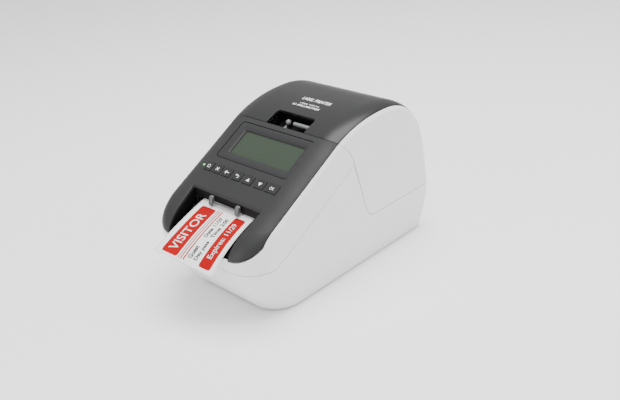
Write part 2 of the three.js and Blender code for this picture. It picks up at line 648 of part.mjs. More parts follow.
// Thermal head, lying on the platen from above, with its finned heat sink and two springs.
const headZ = nipZ + labelThickness / 2 + fitGap;
piece('print_head', box(-platenHalf, platenHalf, platenY - 4, platenY + 3, headZ, headZ + 2.2),
  headCeramic);
const sinkZ = headZ + 2.2 + fitGap;
const finHalf = labelWidth * 0.32;
let sink = box(-platenHalf, platenHalf, platenY - 3, platenY + 12, sinkZ, sinkZ + 1.4);
for (let i = 0; i < 5; i += 1) {
  const y = platenY - 2 + i * 2.6;
  sink = sink.add(box(-finHalf, finHalf, y, y + 1, sinkZ, sinkZ + 2.6));
}
piece('heat_sink', sink, aluminium);

class SpringCurve extends THREE.Curve {
  constructor(x, y, z, rise, radius, turns) {
    super();
    Object.assign(this, { x, y, z, rise, radius, turns });
  }
  getPoint(t, target = new THREE.Vector3()) {
    const a = t * this.turns * 2 * Math.PI;
    return target.set(this.x + this.radius * Math.cos(a), this.y + this.radius * Math.sin(a),
      this.z + this.rise * t);
  }
}

function spring(x, y, z, rise, radius, wire, turns) {
  const section = new THREE.Shape();
  section.absarc(0, 0, wire, 0, 2 * Math.PI);
  const path = new SpringCurve(x, y, z, rise, radius, turns);
  return new THREE.ExtrudeGeometry(section, { steps: turns * 10, extrudePath: path, curveSegments: 2 });
}

const springFoot = sinkZ + 1.4;
const springRise = springBarZ - springFoot - 2 * fitGap - 0.7;
['left', 'right'].forEach((side, i) => {
  const x = (i === 0 ? -1 : 1) * labelWidth * 0.4;
  piece(`head_spring_${side}`, solid(spring(x, springY, springFoot + fitGap + 0.35, springRise,
    1.9, 0.3, 3)), steel);
});

// Cutter: a crank drives the moving blade up past the fixed one.
const crankX = 16;
const cutterMotorRadius = 6.5;
const crankZ = nipZ - 20;
const fixedY = cutterY - 1.7;
const crankStart = -Math.PI / 4;
const bladeLow = nipZ - 15;
const bladeHigh = nipZ - 2.3;
const slotHalf = 1 + fitGap;
const bladeTab = nipZ - 26;
const pinX = crankX + crankRadius * Math.cos(crankStart);
const pinZ = crankZ + crankRadius * Math.sin(crankStart);
let blade = box(-labelWidth / 2 - 3, labelWidth / 2 + 3, cutterY, cutterY + bladeThickness, bladeLow,
  bladeHigh);
blade = blade.add(box(crankX - 9, crankX + 9, cutterY, cutterY + bladeThickness, bladeTab, bladeLow + 1));
blade = blade.subtract(box(crankX - 6, crankX + 6.5, cutterY - 1, cutterY + 2, pinZ - slotHalf,
  pinZ + slotHalf));
piece('moving_blade', blade, steel);
piece('fixed_blade', box(-labelWidth / 2 - 4, labelWidth / 2 + 4, fixedY, fixedY + bladeThickness,
  nipZ + 0.9, nipZ + 7.5), steel);
const discY = cutterY + bladeThickness + 0.5;
const disc = rodY(6.5, discY, discY + 1.6, crankX, crankZ)
  .add(rodY(1, cutterY - 0.6, discY + 1, pinX, pinZ, 16))
  .subtract(rodY(1.2 + bearingGap, discY - 1, discY + 3, crankX, crankZ, 16));
piece('cutter_crank', disc, gearPlastic);
const cutterMotor = rodY(cutterMotorRadius, discY + 2.2, discY + 22, crankX, crankZ, 24)
  .add(rodY(1.2, discY - 0.3, discY + 4, crankX, crankZ, 16));
piece('cutter_motor', cutterMotor, steel);

// Black outlet floor between the ears and the two fingers that hold the label down on it.
const chuteBackY = cutterY - 3;
const chute = [[chuteBackY, nipZ - 4], [noseY + 4, chuteZ], [noseY + 4, chuteZ - 2.4],
  [chuteBackY, nipZ - 6.4]];
piece('outlet_chute', alongX(chute, -recessFoot + fitGap, recessFoot - fitGap), innerPlastic);
let guide = box(-15, 15, outletY - 2.2, outletY - fitGap, nipZ + 2, nipZ + 4);
for (const x of [-16, 16]) {
  guide = guide.add(alongX([[outletY - fitGap, nipZ + 8], [outletY - 2.4, nipZ + 8],
    [outletY - 4.8, nipZ + 1], [outletY - 4, nipZ - 0.4], [outletY - 2.6, nipZ + 1],
    [outletY - fitGap, nipZ + 3.2]].reverse(), x - 1.5, x + 1.5));
}
piece('outlet_guide', guide, greyPlastic);

// ---------------------------------------------------------------- label and roll

// Ribbon of the given thickness along a line of (y, z) points.
function ribbon(points, thickness, x0, x1) {
  const side = sign => points.map((p, i) => {
    const a = points[Math.max(i - 1, 0)];
    const b = points[Math.min(i + 1, points.length - 1)];
    const run = Math.hypot(b[0] - a[0], b[1] - a[1]);
    const half = (sign * thickness) / 2;
    return [p[0] - (half * (b[1] - a[1])) / run, p[1] + (half * (b[0] - a[0])) / run];
  });
  return alongX([...side(1), ...side(-1).reverse()], x0, x1);
}

const labelTip = [noseY - labelReach, noseHeight - labelDroop];
const labelCurve = new THREE.CubicBezierCurve(v2(fixedY - 0.3, nipZ), v2(outletY - 8, nipZ - 0.5),
  v2(noseY + 2, chuteZ + 6.5), v2(...labelTip));
piece('printed_label', ribbon(labelCurve.getPoints(12).map(p => [p.x, p.y]), labelThickness,
  -labelWidth / 2, labelWidth / 2), paper);

// The web leaves the roll at a tangent and levels out just behind the platen.
const levelY = platenY + 4;
const webReach = Math.hypot(rollY - levelY, rollZ - nipZ);
const webRise = Math.asin((rollRadius + 0.7) / webReach) + Math.atan2(rollZ - nipZ, rollY - levelY);
const webLength = Math.sqrt(webReach ** 2 - rollRadius ** 2);
const web = [[levelY + webLength * Math.cos(webRise), nipZ + webLength * Math.sin(webRise)],
  [levelY, nipZ], [cutterY + bladeThickness + 0.4, nipZ]];
piece('label_web', ribbon(web, labelThickness, -labelWidth / 2, labelWidth / 2), paper);

const labelRoll = rodX(rollRadius, -labelWidth / 2, labelWidth / 2, rollY, rollZ, 48)
  .subtract(rodX(coreRadius, -labelWidth, labelWidth, rollY, rollZ, 32));
piece('label_roll', labelRoll, paper);
const core = rodX(coreRadius - fitGap, -labelWidth / 2, labelWidth / 2, rollY, rollZ, 32)
  .subtract(rodX(coreRadius - fitGap - coreWall, -labelWidth, labelWidth, rollY, rollZ, 32));
piece('roll_core', core, cardboard);

// The spool's two arms stand beside the roll and rest in slots of the roll tray.
const armX0 = labelWidth / 2 + 0.6;
const armX1 = armX0 + 2;
const armRadius = 18;
const hubReach = 14;
const hubRadius = coreRadius - fitGap - coreWall - bearingGap;
const trayInner = rollRadius + 6;
['left', 'right'].forEach((side, i) => {
  const sign = i === 0 ? -1 : 1;
  const [x0, x1] = sign > 0 ? [armX0, armX1] : [-armX1, -armX0];
  let arm = rodX(armRadius, x0, x1, rollY, rollZ, 28);
  arm = arm.add(box(x0, x1, rollY - armRadius / 2, rollY + armRadius / 2, rollZ - trayInner + 1.2, rollZ));
  const hub = sign > 0 ? [armX0 - hubReach, armX0] : [-armX0, -armX0 + hubReach];
  arm = arm.add(rodX(hubRadius, hub[0], hub[1], rollY, rollZ, 28));
  arm = arm.subtract(rodX(hubRadius - 2, -labelWidth, labelWidth, rollY, rollZ, 28));
  piece(`spool_arm_${side}`, arm, greyPlastic);
});

const trayOuter = trayInner + 2;
const trayArc = [];
const trayFrom = THREE.MathUtils.degToRad(205);
const trayTo = THREE.MathUtils.degToRad(335);
for (let i = 0; i <= 14; i += 1) {
  const a = lerp(trayFrom, trayTo, i / 14);
  trayArc.push([rollY + trayOuter * Math.cos(a), rollZ + trayOuter * Math.sin(a)]);
}
for (let i = 14; i >= 0; i -= 1) {
  const a = lerp(trayFrom, trayTo, i / 14);
  trayArc.push([rollY + trayInner * Math.cos(a), rollZ + trayInner * Math.sin(a)]);
}
piece('roll_tray', alongX(trayArc, -armX1 - 6, armX1 + 6), innerPlastic);

// ---------------------------------------------------------------- boards and screws

const boardZ = footHeight + wall + 5;
const boardY0 = platenY + 26;
let mainBoard = box(-44, 44, boardY0, rollY - 14, boardZ, boardZ + 1.6);
for (const [x, y, w, d, h] of [[-24, 14, 14, 14, 2], [4, 10, 9, 9, 1.6], [26, 18, 10, 16, 5]]) {
  mainBoard = mainBoard.add(box(x - w / 2, x + w / 2, boardY0 + y - d / 2, boardY0 + y + d / 2,
    boardZ + 1, boardZ + 1.6 + h));
}
piece('main_board', mainBoard, boardGreen);

const screwTop = footHeight + wall + 3.5;
['left', 'right'].forEach((side, i) => {
  const x = i === 0 ? -screwX : screwX;
  [['front', footFrontY], ['rear', footRearY]].forEach(([end, y]) => {
    let screw = rodZ(screwHead, footHeight + 0.1, footHeight + 1.1, x, y, 16);
    screw = screw.add(rodZ(screwShank, footHeight + 0.5, screwTop, x, y, 16));
    screw = screw.subtract(box(x - 2, x + 2, y - 0.4, y + 0.4, 0, footHeight + 0.6));
    screw = screw.subtract(box(x - 0.4, x + 0.4, y - 2, y + 2, 0, footHeight + 0.6));
    piece(`case_screw_${end}_${side}`, screw, steel);
  });
});

// The origin is the middle of the footprint with the label in place.
printer.position.y = labelReach / 2;

export default printer;
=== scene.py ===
import math

import bmesh
import bpy
import numpy as np
from mathutils import Matrix, Vector


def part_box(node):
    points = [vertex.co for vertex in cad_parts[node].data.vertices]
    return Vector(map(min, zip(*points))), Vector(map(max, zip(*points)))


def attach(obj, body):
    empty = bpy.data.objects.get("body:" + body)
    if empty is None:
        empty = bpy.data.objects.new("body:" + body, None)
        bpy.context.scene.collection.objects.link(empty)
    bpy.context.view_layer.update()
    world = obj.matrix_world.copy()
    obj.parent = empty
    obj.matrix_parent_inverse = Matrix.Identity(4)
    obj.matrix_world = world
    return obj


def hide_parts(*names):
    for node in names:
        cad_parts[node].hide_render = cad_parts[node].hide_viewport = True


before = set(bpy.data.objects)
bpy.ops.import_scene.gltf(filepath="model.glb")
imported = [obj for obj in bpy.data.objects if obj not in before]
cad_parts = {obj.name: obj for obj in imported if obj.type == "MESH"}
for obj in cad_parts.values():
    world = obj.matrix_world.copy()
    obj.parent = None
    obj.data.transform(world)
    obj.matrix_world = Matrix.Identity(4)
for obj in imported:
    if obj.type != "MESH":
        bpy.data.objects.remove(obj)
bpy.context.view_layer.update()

# ---- Camera -------------------------------------------------------------------------------
# A long lens, right of the label outlet and a little above, looking down at the printer.
back = np.array([0.62645, -0.63866, 0.44684])
level = np.cross([0, 0, 1], back)
level /= np.linalg.norm(level)
rise = np.cross(back, level)
roll = math.radians(-3.64)
right = math.cos(roll) * level + math.sin(roll) * rise
up = -math.sin(roll) * level + math.cos(roll) * rise

camera_data = bpy.data.cameras.new("camera")
camera_data.sensor_width = 36.0
camera_data.lens = 768.54 / 620 * 36.0
camera_data.clip_start = 0.01
camera = bpy.data.objects.new("camera", camera_data)
camera_place = (0.4434, -0.42704, 0.36659)
camera.matrix_world = Matrix([[*row, place] for row, place in
                              zip(np.stack([right, up, back], 1), camera_place)] + [[0, 0, 0, 1]])
bpy.context.scene.collection.objects.link(camera)
bpy.context.scene.camera = camera

# ---- Floor and studio light ---------------------------------------------------------------
# A seamless pale floor in a white room, brighter overhead, with one large soft light above
# and two beside.
floor_size = 60.0
floor_corners = np.array([(-1, -1, 0), (1, -1, 0), (1, 1, 0), (-1, 1, 0)]) * floor_size / 2
floor_mesh = bpy.data.meshes.new("floor")
floor_mesh.from_pydata(floor_corners, [], [(0, 1, 2, 3)])
floor = bpy.data.objects.new("floor", floor_mesh)
bpy.context.scene.collection.objects.link(floor)
floor_material = bpy.data.materials.new("pale_floor")
floor_material.use_nodes = True
floor_shader = floor_material.node_tree.nodes["Principled BSDF"]
floor_shader.inputs["Base Color"].default_value = (0.93, 0.93, 0.93, 1)
floor_shader.inputs["Roughness"].default_value = 0.8
floor_shader.inputs["Specular IOR Level"].default_value = 0.1
floor_mesh.materials.append(floor_material)

world = bpy.data.worlds.new("studio")
bpy.context.scene.world = world
world.use_nodes = True
sky_nodes, sky_links = world.node_tree.nodes, world.node_tree.links
sky_nodes["Background"].inputs["Strength"].default_value = 1.25
toward = sky_nodes.new("ShaderNodeTexCoord")
axes = sky_nodes.new("ShaderNodeSeparateXYZ")
tone = sky_nodes.new("ShaderNodeValToRGB")
tone.color_ramp.elements[0].position = 0.0
tone.color_ramp.elements[0].color = (0.42, 0.42, 0.42, 1)
tone.color_ramp.elements[1].position = 0.75
tone.color_ramp.elements[1].color = (1, 1, 1, 1)
sky_links.new(toward.outputs["Generated"], axes.inputs["Vector"])
sky_links.new(axes.outputs["Z"], tone.inputs["Fac"])
sky_links.new(tone.outputs["Color"], sky_nodes["Background"].inputs["Color"])


def soft_light(name, place, size, power):
    """One square area light at place, turned to the printer; metres and watts."""
    lamp = bpy.data.lights.new(name, "AREA")
    lamp.shape = "SQUARE"
    lamp.size = size
    lamp.energy = power
    light = bpy.data.objects.new(name, lamp)
    light.location = place
    aim = Vector((0, 0, 0.06)) - Vector(place)
    light.rotation_euler = aim.to_track_quat("-Z", "Y").to_euler()
    bpy.context.scene.collection.objects.link(light)


soft_light("top_light", (0.1, 0.1, 1.3), 1.0, 26)
soft_light("right_light", (1.2, 0.9, 0.9), 0.8, 9)
soft_light("front_light", (-0.3, -1.4, 0.5), 0.9, 9)

# ---- Base cover ---------------------------------------------------------------------------
# The tub that everything stands in: white ABS, 2.5 mm thick, with a fine spark-eroded grain.
# It is moulded in one shot; its rim is the seam under the front cover and the lid.

# The whole housing is one form, worked out here because the base needs it first. A path runs
# from the front foot over the nose, the panel and the crown to the rear foot. Millimetres,
# y from the middle of the housing, which stands `forward` behind the frame's own middle.
half_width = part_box("base_cover")[1][0] * 1000
rear_y = 117.0
nose_y = -rear_y
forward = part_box("base_cover")[1][1] * 1000 - rear_y
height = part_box("lid_top")[1][2] * 1000
foot_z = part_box("base_cover")[0][2] * 1000
wall = 2.5
slope = math.radians(29.5)
parting_z = 49.0
front_seam_z = 51.0
seam_drop = 37.6
crown_y = rear_y - 68.5
side_taper = 7.6
trim_x = half_width - 2.65
gap = 0.3             # each cover stops this far from a joint
panel_z = height - 6.4    # height of the panel's plane at y = 0
shoulder_width, shoulder_drop = 18.5, 8.5


def slope_z(y):
    """Height of the control panel's plane above y."""
    return panel_z + y * math.tan(slope)


def bezier(points, count):
    """Points of a Bezier curve of any degree: neighbours are mixed until one is left."""
    t = np.linspace(0, 1, count + 1)[:, None]
    layer = [np.tile(np.array(p, float), (count + 1, 1)) for p in points]
    while len(layer) > 1:
        layer = [a * (1 - t) + b * t for a, b in zip(layer, layer[1:])]
    return layer[0]


# Each stretch: curve points, then how far the shoulder reaches inward over y and z and how
# wide it is, at its start and at its end.
slope_y0, slope_y1 = nose_y + 18.5, -12.0
over = (shoulder_drop / math.sin(slope), 0.0, shoulder_width)
square = (shoulder_drop * math.sin(slope), -shoulder_drop * math.cos(slope), shoulder_width)
upright = (0, -shoulder_drop, shoulder_width)
stretches = [
    ([(nose_y + 30.5, foot_z), (nose_y, 36), (nose_y, 60)], (26, 0, 26), (26, 0, 26)),
    ([(nose_y, 60), (nose_y, slope_z(nose_y)), (slope_y0, slope_z(slope_y0))],
     (26, 0, 26), over),
    ([(slope_y0, slope_z(slope_y0)), (slope_y1, slope_z(slope_y1))],
     over, square),
    ([(slope_y1, slope_z(slope_y1)), (-3, slope_z(slope_y1) + 4.4), (crown_y - 31, height),
      (crown_y, height)], square, upright),
    ([(crown_y, height), (crown_y + 35, height), (rear_y - 11.5, height - 23),
      (rear_y - 6, height - 57)], upright, (-8, -3, 10)),
    ([(rear_y - 6, height - 57), (rear_y, parting_z)], (-8, -3, 10), (-8, 0, 8)),
    ([(rear_y, parting_z), (rear_y - 4, foot_z)], (-8, 0, 8), (-8, 0, 8)),
]
steps = 400
path = []
for points, start, end in stretches:
    t = np.linspace(0, 1, steps + 1)[:, None]
    block = np.hstack([bezier(points, steps), np.array(start) * (1 - t) + np.array(end) * t])
    path.append(block[1:] if path else block)
path = np.vstack(path)
path_s = np.append(0, np.cumsum(np.linalg.norm(np.diff(path[:, :2], axis=0), axis=1)))
nose_s, slope_s0, slope_s1, crown_s, shoulder_s, _, foot_s = path_s[steps::steps]


def side_factor(z):
    """Share of the full width at height z: upright, then drawn in towards the foot."""
    draw = (np.maximum(0, parting_z - z) / (parting_z - foot_z)) ** 2
    return 1 - side_taper / half_width * draw


def full_lane(s, k):
    """x across the whole form: k runs -1..1, the outer halves turn through the shoulders."""
    across = np.interp(s, path_s, path[:, 4])
    turn = np.clip(2 * np.abs(k) - 1, 0, 1) * math.pi / 2
    flat = np.clip(2 * np.abs(k), 0, 1)
    return np.sign(k) * (flat * (half_width - across) + across * np.sin(turn))


def edge_lane(s, k):
    """x of the strip outside the black trim: k runs 0..1 round the rest of the shoulder."""
    across = np.interp(s, path_s, path[:, 4])
    first = np.arcsin((trim_x + gap - half_width + across) / across)
    return half_width - across + across * np.sin(first + k * (math.pi / 2 - first))


def plain_lane(s, x):
    """x itself, for pieces that are cut square across the form."""
    return x + 0 * s


def skin(s, x):
    """Point of the form at path length s and x: the path, less a quarter-ellipse shoulder."""
    y, z, reach_y, reach_z, across = (np.interp(s, path_s, column) for column in path.T)
    turn = np.clip((np.abs(x) - half_width + across) / across, 0, 1)
    drop = 1 - np.sqrt(1 - turn ** 2)
    y, z = y + reach_y * drop, z + reach_z * drop
    return np.stack([x * side_factor(z), y, z], -1)


def crossing(lane, k, region, start, stop):
    """Path length between start and stop where region(points) turns positive, for each k."""
    k = np.atleast_1d(np.asarray(k, float))
    s = np.linspace(start, stop, 1500)[:, None] + 0 * k
    signed = region(skin(s, lane(s, k)))
    signed[0], signed[-1] = np.minimum(signed[0], -1e-9), np.maximum(signed[-1], 1e-9)
    first = np.argmax(signed > 0, axis=0)
    column = np.arange(len(k))
    low, high = signed[first - 1, column], signed[first, column]
    return s[first - 1, column] + (s[first, column] - s[first - 1, column]) * low / (low - high)


# The lid's edge leaves the panel at lid_y and turns upright at knee_y.
lid_y, knee_y = -12.5, 7.1


def seam_line(shift):
    """Joint of base and front cover in y, z: level round the nose, then parallel to the panel."""
    bend = nose_y + (front_seam_z - slope_z(nose_y) + seam_drop) / math.tan(slope)
    curve = bezier([(bend - 14, front_seam_z), (bend, front_seam_z),
                    (bend + 14, slope_z(bend + 14) - seam_drop)], 14)
    end = (knee_y, slope_z(knee_y) - seam_drop)
    return np.vstack([(-140, front_seam_z), curve, end]) + (0, shift)


knee_z = slope_z(knee_y) - seam_drop + 2
corner_y = knee_y + (knee_z - parting_z) / 3.4


def lid_line(shift):
    """Front and lower edge of the lid in y, z: an S over the shoulder, almost upright down
    the side, round a corner, and level from there."""
    top = bezier([(lid_y, slope_z(lid_y)), (lid_y + 9, slope_z(lid_y) - 7),
                  (knee_y - 4, knee_z + 12), (knee_y, knee_z)], 24) + (shift, 0)
    corner = bezier([(corner_y - 2.4 + shift, parting_z + 8), (corner_y + shift, parting_z + shift),
                     (corner_y + 10, parting_z + shift)], 14)
    above = (lid_y + shift - 30 * math.sin(slope), slope_z(lid_y) + 30 * math.cos(slope))
    return np.vstack([above, top, corner])


def past_lid_line(shift):
    """Signed test: positive on the lid's side of its line."""
    line = lid_line(shift)[:27][::-1]
    return lambda p: p[..., 1] - np.interp(p[..., 2], line[:, 1], line[:, 0])


def resample(line, count):
    """Points spread evenly over a line's length."""
    length = np.append(0, np.cumsum(np.linalg.norm(np.diff(line, axis=0), axis=1)))
    t = np.linspace(0, length[-1], count)
    return np.stack([np.interp(t, length, column) for column in line.T], -1)


def coons(low, high, first, last):
    """Patch between four edges: both ruled surfaces, less the bilinear one of the corners."""
    t = np.linspace(0, 1, len(low))[None, :, None]
    v = np.linspace(0, 1, len(first))[:, None, None]
    ruled = low[None] * (1 - v) + high[None] * v + first[:, None] * (1 - t) + last[:, None] * t
    corners = (low[0] * (1 - v) + high[0] * v) * (1 - t) + (low[-1] * (1 - v) + high[-1] * v) * t
    return ruled - corners


def flat_side(y_z):
    """Points of the right side over y and z: half the width, less the draw of the foot."""
    return np.concatenate([half_width * side_factor(y_z[..., 1:]), y_z], -1)


def place_mesh(name, vertices, faces, body, material, replaces=()):
    """A smooth mesh at the origin, from millimetres about the housing's middle."""
    mesh = bpy.data.meshes.new(name)
    mesh.from_pydata((np.asarray(vertices) + (0, forward, 0)) / 1000, [], faces)
    mesh.polygons.foreach_set("use_smooth", np.ones(len(mesh.polygons), bool))
    piece = bpy.data.objects.new(name, mesh)
    bpy.context.scene.collection.objects.link(piece)
    mesh.materials.append(material)
    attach(piece, body)
    if replaces:
        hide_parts(*replaces)
    return piece


def grid_faces(rows, columns, keep=None, first=0):
    """Quads of a grid of vertices; keep is a mask of the cells that exist."""
    corner = np.arange((rows - 1) * columns).reshape(rows - 1, columns)[:, :-1] + first
    quads = np.stack([corner, corner + 1, corner + columns + 1, corner + columns], -1)
    return (quads if keep is None else quads[keep]).reshape(-1, 4)


def shell(name, patches, body, material, replaces, mirrored=(), thickness=wall, edge=0.35):
    """A moulded cover: patches are grids or (grid, mask), joined where they touch. Mirrored
    ones stand on both sides. Then it gets its wall inwards and a small radius on its edges."""
    patches = list(patches) + list(mirrored) + [grid * (-1, 1, 1) for grid in mirrored]
    vertices, faces, first = [], [], 0
    for patch in patches:
        grid, keep = patch if isinstance(patch, tuple) else (patch, None)
        faces.append(grid_faces(*grid.shape[:2], keep, first))
        vertices.append(grid.reshape(-1, 3))
        first += grid.shape[0] * grid.shape[1]
    piece = place_mesh(name, np.vstack(vertices), np.vstack(faces).tolist(), body, material,
                       replaces)
    merged = bmesh.new()
    merged.from_mesh(piece.data)
    bmesh.ops.remove_doubles(merged, verts=merged.verts, dist=2e-5)
    loose = [v for v in merged.verts if not v.link_faces]
    bmesh.ops.delete(merged, geom=loose, context="VERTS")
    bmesh.ops.recalc_face_normals(merged, faces=merged.faces)
    middle = Vector((0, forward / 1000, 0.06))
    facing = sum(f.calc_area() * f.normal.dot(f.calc_center_median() - middle)
                 for f in merged.faces)
    if facing < 0:
        bmesh.ops.reverse_faces(merged, faces=merged.faces)
    merged.to_mesh(piece.data)
    merged.free()
    solidify = piece.modifiers.new("wall", "SOLIDIFY")
    solidify.thickness = thickness / 1000
    solidify.offset = -1
    solidify.use_even_offset = True
    soften(piece, edge)
    return piece


def soften(piece, radius, segments=2):
    """A small radius on every sharp edge of a piece."""
    bevel = piece.modifiers.new("edge", "BEVEL")
    bevel.width = radius / 1000
    bevel.segments = segments
    bevel.limit_method = "ANGLE"
    bevel.angle_limit = math.radians(50)
    bevel.harden_normals = True


def node_group(name, inputs, outputs):
    """An empty shader group with its sockets; inputs are (name, type, value)."""
    group = bpy.data.node_groups.new(name, "ShaderNodeTree")
    for socket_name, kind, value in inputs:
        socket = group.interface.new_socket(name=socket_name, in_out="INPUT", socket_type=kind)
        socket.default_value = value
    for socket_name, kind in outputs:
        group.interface.new_socket(name=socket_name, in_out="OUTPUT", socket_type=kind)
    return group, group.nodes.new("NodeGroupInput"), group.nodes.new("NodeGroupOutput")


def wire(tree, *pairs):
    """Links in one shader tree, each pair from an output to an input."""
    for start, end in pairs:
        tree.links.new(start, end)


# Moulded grain: fine noise on object coordinates, as a bump.
grain, take, give = node_group(
    "moulded_grain",
    [("Grains per metre", "NodeSocketFloat", 2600.0), ("Depth", "NodeSocketFloat", 0.05)],
    [("Normal", "NodeSocketVector")])
place = grain.nodes.new("ShaderNodeTexCoord")
noise = grain.nodes.new("ShaderNodeTexNoise")
noise.inputs["Detail"].default_value = 3.0
bump = grain.nodes.new("ShaderNodeBump")
bump.inputs["Distance"].default_value = 0.0001
wire(grain, (place.outputs["Object"], noise.inputs["Vector"]),
     (take.outputs["Grains per metre"], noise.inputs["Scale"]),
     (noise.outputs["Fac"], bump.inputs["Height"]),
     (take.outputs["Depth"], bump.inputs["Strength"]),
     (bump.outputs["Normal"], give.inputs["Normal"]))

# Handling: slow noise on object coordinates mixes two tones and two values of roughness.
handling, take, give = node_group(
    "handling",
    [("Light", "NodeSocketColor", (1, 1, 1, 1)), ("Dark", "NodeSocketColor", (0.9, 0.9, 0.9, 1)),
     ("Smooth", "NodeSocketFloat", 0.35), ("Rough", "NodeSocketFloat", 0.5),
     ("Patches per metre", "NodeSocketFloat", 40.0)],
    [("Color", "NodeSocketColor"), ("Roughness", "NodeSocketFloat")])
place = handling.nodes.new("ShaderNodeTexCoord")
noise = handling.nodes.new("ShaderNodeTexNoise")
noise.inputs["Detail"].default_value = 5.0
mix = handling.nodes.new("ShaderNodeMix")
mix.data_type = "RGBA"
spread = handling.nodes.new("ShaderNodeMapRange")
spread.inputs["From Min"].default_value = 0.3
spread.inputs["From Max"].default_value = 0.7
wire(handling, (place.outputs["Object"], noise.inputs["Vector"]),
     (take.outputs["Patches per metre"], noise.inputs["Scale"]),
     (noise.outputs["Fac"], spread.inputs["Value"]),
     (take.outputs["Smooth"], spread.inputs["To Min"]),
     (take.outputs["Rough"], spread.inputs["To Max"]),
     (spread.outputs["Result"], give.inputs["Roughness"]),
     (noise.outputs["Fac"], mix.inputs["Factor"]),
     (take.outputs["Light"], mix.inputs[6]), (take.outputs["Dark"], mix.inputs[7]),
     (mix.outputs[2], give.inputs["Color"]))


def finish(name, light, dark, smooth, rough, depth=0.0, grains=2600.0, patches=40.0, metal=0.0,
           shine=0.5):
    """A material of one tone drifting between light and dark, with its gloss and its grain."""
    material = bpy.data.materials.new(name)
    material.use_nodes = True
    nodes, links = material.node_tree.nodes, material.node_tree.links
    shader = nodes["Principled BSDF"]
    shader.inputs["Metallic"].default_value = metal
    shader.inputs["Specular IOR Level"].default_value = shine
    drift = nodes.new("ShaderNodeGroup")
    drift.node_tree = handling
    drift.inputs["Light"].default_value = (*light, 1)
    drift.inputs["Dark"].default_value = (*dark, 1)
    drift.inputs["Smooth"].default_value = smooth
    drift.inputs["Rough"].default_value = rough
    drift.inputs["Patches per metre"].default_value = patches
    links.new(drift.outputs["Color"], shader.inputs["Base Color"])
    links.new(drift.outputs["Roughness"], shader.inputs["Roughness"])
    if depth > 0:
        surface = nodes.new("ShaderNodeGroup")
        surface.node_tree = grain
        surface.inputs["Grains per metre"].default_value = grains
        surface.inputs["Depth"].default_value = depth
        links.new(surface.outputs["Normal"], shader.inputs["Normal"])
    return material


white_abs = finish("white_abs", (0.80, 0.80, 0.80), (0.77, 0.77, 0.775), 0.36, 0.48, 0.25)

base_rows, side_count = 26, 100
lanes = np.concatenate([np.linspace(0, 0.5, 9), 0.5 + 0.5 * np.linspace(0, 1, 15)[1:]])
lanes = np.concatenate([-lanes[:0:-1], lanes])
seam_s = crossing(full_lane, lanes, lambda p: p[..., 2] - front_seam_z + gap, 0, nose_s)
rows = np.linspace(0, 1, base_rows)[:, None] * seam_s
front_wall = skin(rows, full_lane(rows, lanes[None]))
front_wall[0, :, 2] = foot_z

# The rear wall has four rectangular openings for the sockets: x range and z range of each.
openings = [((-45.3, -22.7), (14.9, 29.1)), ((-6.3, 10.3), (14.9, 29.1)),
            ((17.2, 30.8), (14.9, 29.1)), ((34.7, 49.3), (17.7, 26.3))]
levels = np.linspace(foot_z, parting_z - gap, base_rows)
columns = full_lane(foot_s, lanes)
for (x0, x1), (z0, z1) in openings:
    for values, wanted in ((columns, x0), (columns, x1), (levels, z0), (levels, z1)):
        values[np.argmin(np.abs(values - wanted))] = wanted
rear_s = np.interp(levels, path[6 * steps:, 1][::-1], path_s[6 * steps:][::-1])[:, None]
rear_wall = skin(rear_s, columns[None] + 0 * rear_s)
edge_x = half_width * side_factor(levels)[:, None]
even_half = 50    # the columns keep their places this far out, and spread beyond it
beyond = (np.abs(columns) - even_half) / (half_width - even_half)
spread_x = even_half + beyond * (edge_x - even_half)
rear_wall[..., 0] = np.where(beyond < 0, columns, np.sign(columns) * spread_x)
relief_y = 112.8
rear_wall[-1, :, 2] -= 0.9 * np.clip(rear_wall[-1, :, 1] - relief_y, 0, 1)
cell_x = (columns[1:] + columns[:-1]) / 2
cell_z = (levels[1:, None] + levels[:-1, None]) / 2
rear_keep = ~np.any([(cell_x > x0) & (cell_x < x1) & (cell_z > z0) & (cell_z < z1)
                     for (x0, x1), (z0, z1) in openings], axis=0)

# Sides: between the two corners, from the foot up to the seam, the lid line and the rear.
front_edge, rear_edge = front_wall[:, -1, 1:], rear_wall[:, -1, 1:]
seam = seam_line(-gap)
seam = np.vstack([front_edge[-1], seam[seam[:, 0] > front_edge[-1, 0]]])
meet = np.array([knee_y - gap, slope_z(knee_y - gap) - seam_drop - gap])
seam[-1] = meet
corner = lid_line(-gap)[-15:]
top_edge = np.vstack([resample(seam, 45)[:-1], resample(np.vstack([meet, corner]), 31)[:-1],
                      resample(np.vstack([corner[-1], rear_edge[-1]]), side_count - 74)])
share = (top_edge[:, 0] - top_edge[0, 0]) / (top_edge[-1, 0] - top_edge[0, 0])
bottom_edge = front_edge[0] * (1 - share[:, None]) + rear_edge[0] * share[:, None]
side = flat_side(coons(bottom_edge, top_edge, front_edge, rear_edge))

# Underside: ruled from the front foot line to the rear one.
v = share[:, None, None]
underside = front_wall[0][None] * (1 - v) + rear_wall[0][None] * v

shell("base_shell", [front_wall, (rear_wall, rear_keep), underside], "base",
      white_abs, ["base_cover"], mirrored=[side])

# ---- Front cover --------------------------------------------------------------------------
# White ABS like the base: the band across the nose and the two cheeks beside the black panel.
# It drops on to the base's rim, and the lid closes against its rear edge.
trim_steps, cheek_steps = 12, 60


def above_ear_line(shift):
    """Signed test: positive above the line where the black panel's ears end at the nose."""
    return lambda p: p[..., 2] - 47.5 - (p[..., 1] - nose_y + 20) * 34.5 / 49 - shift


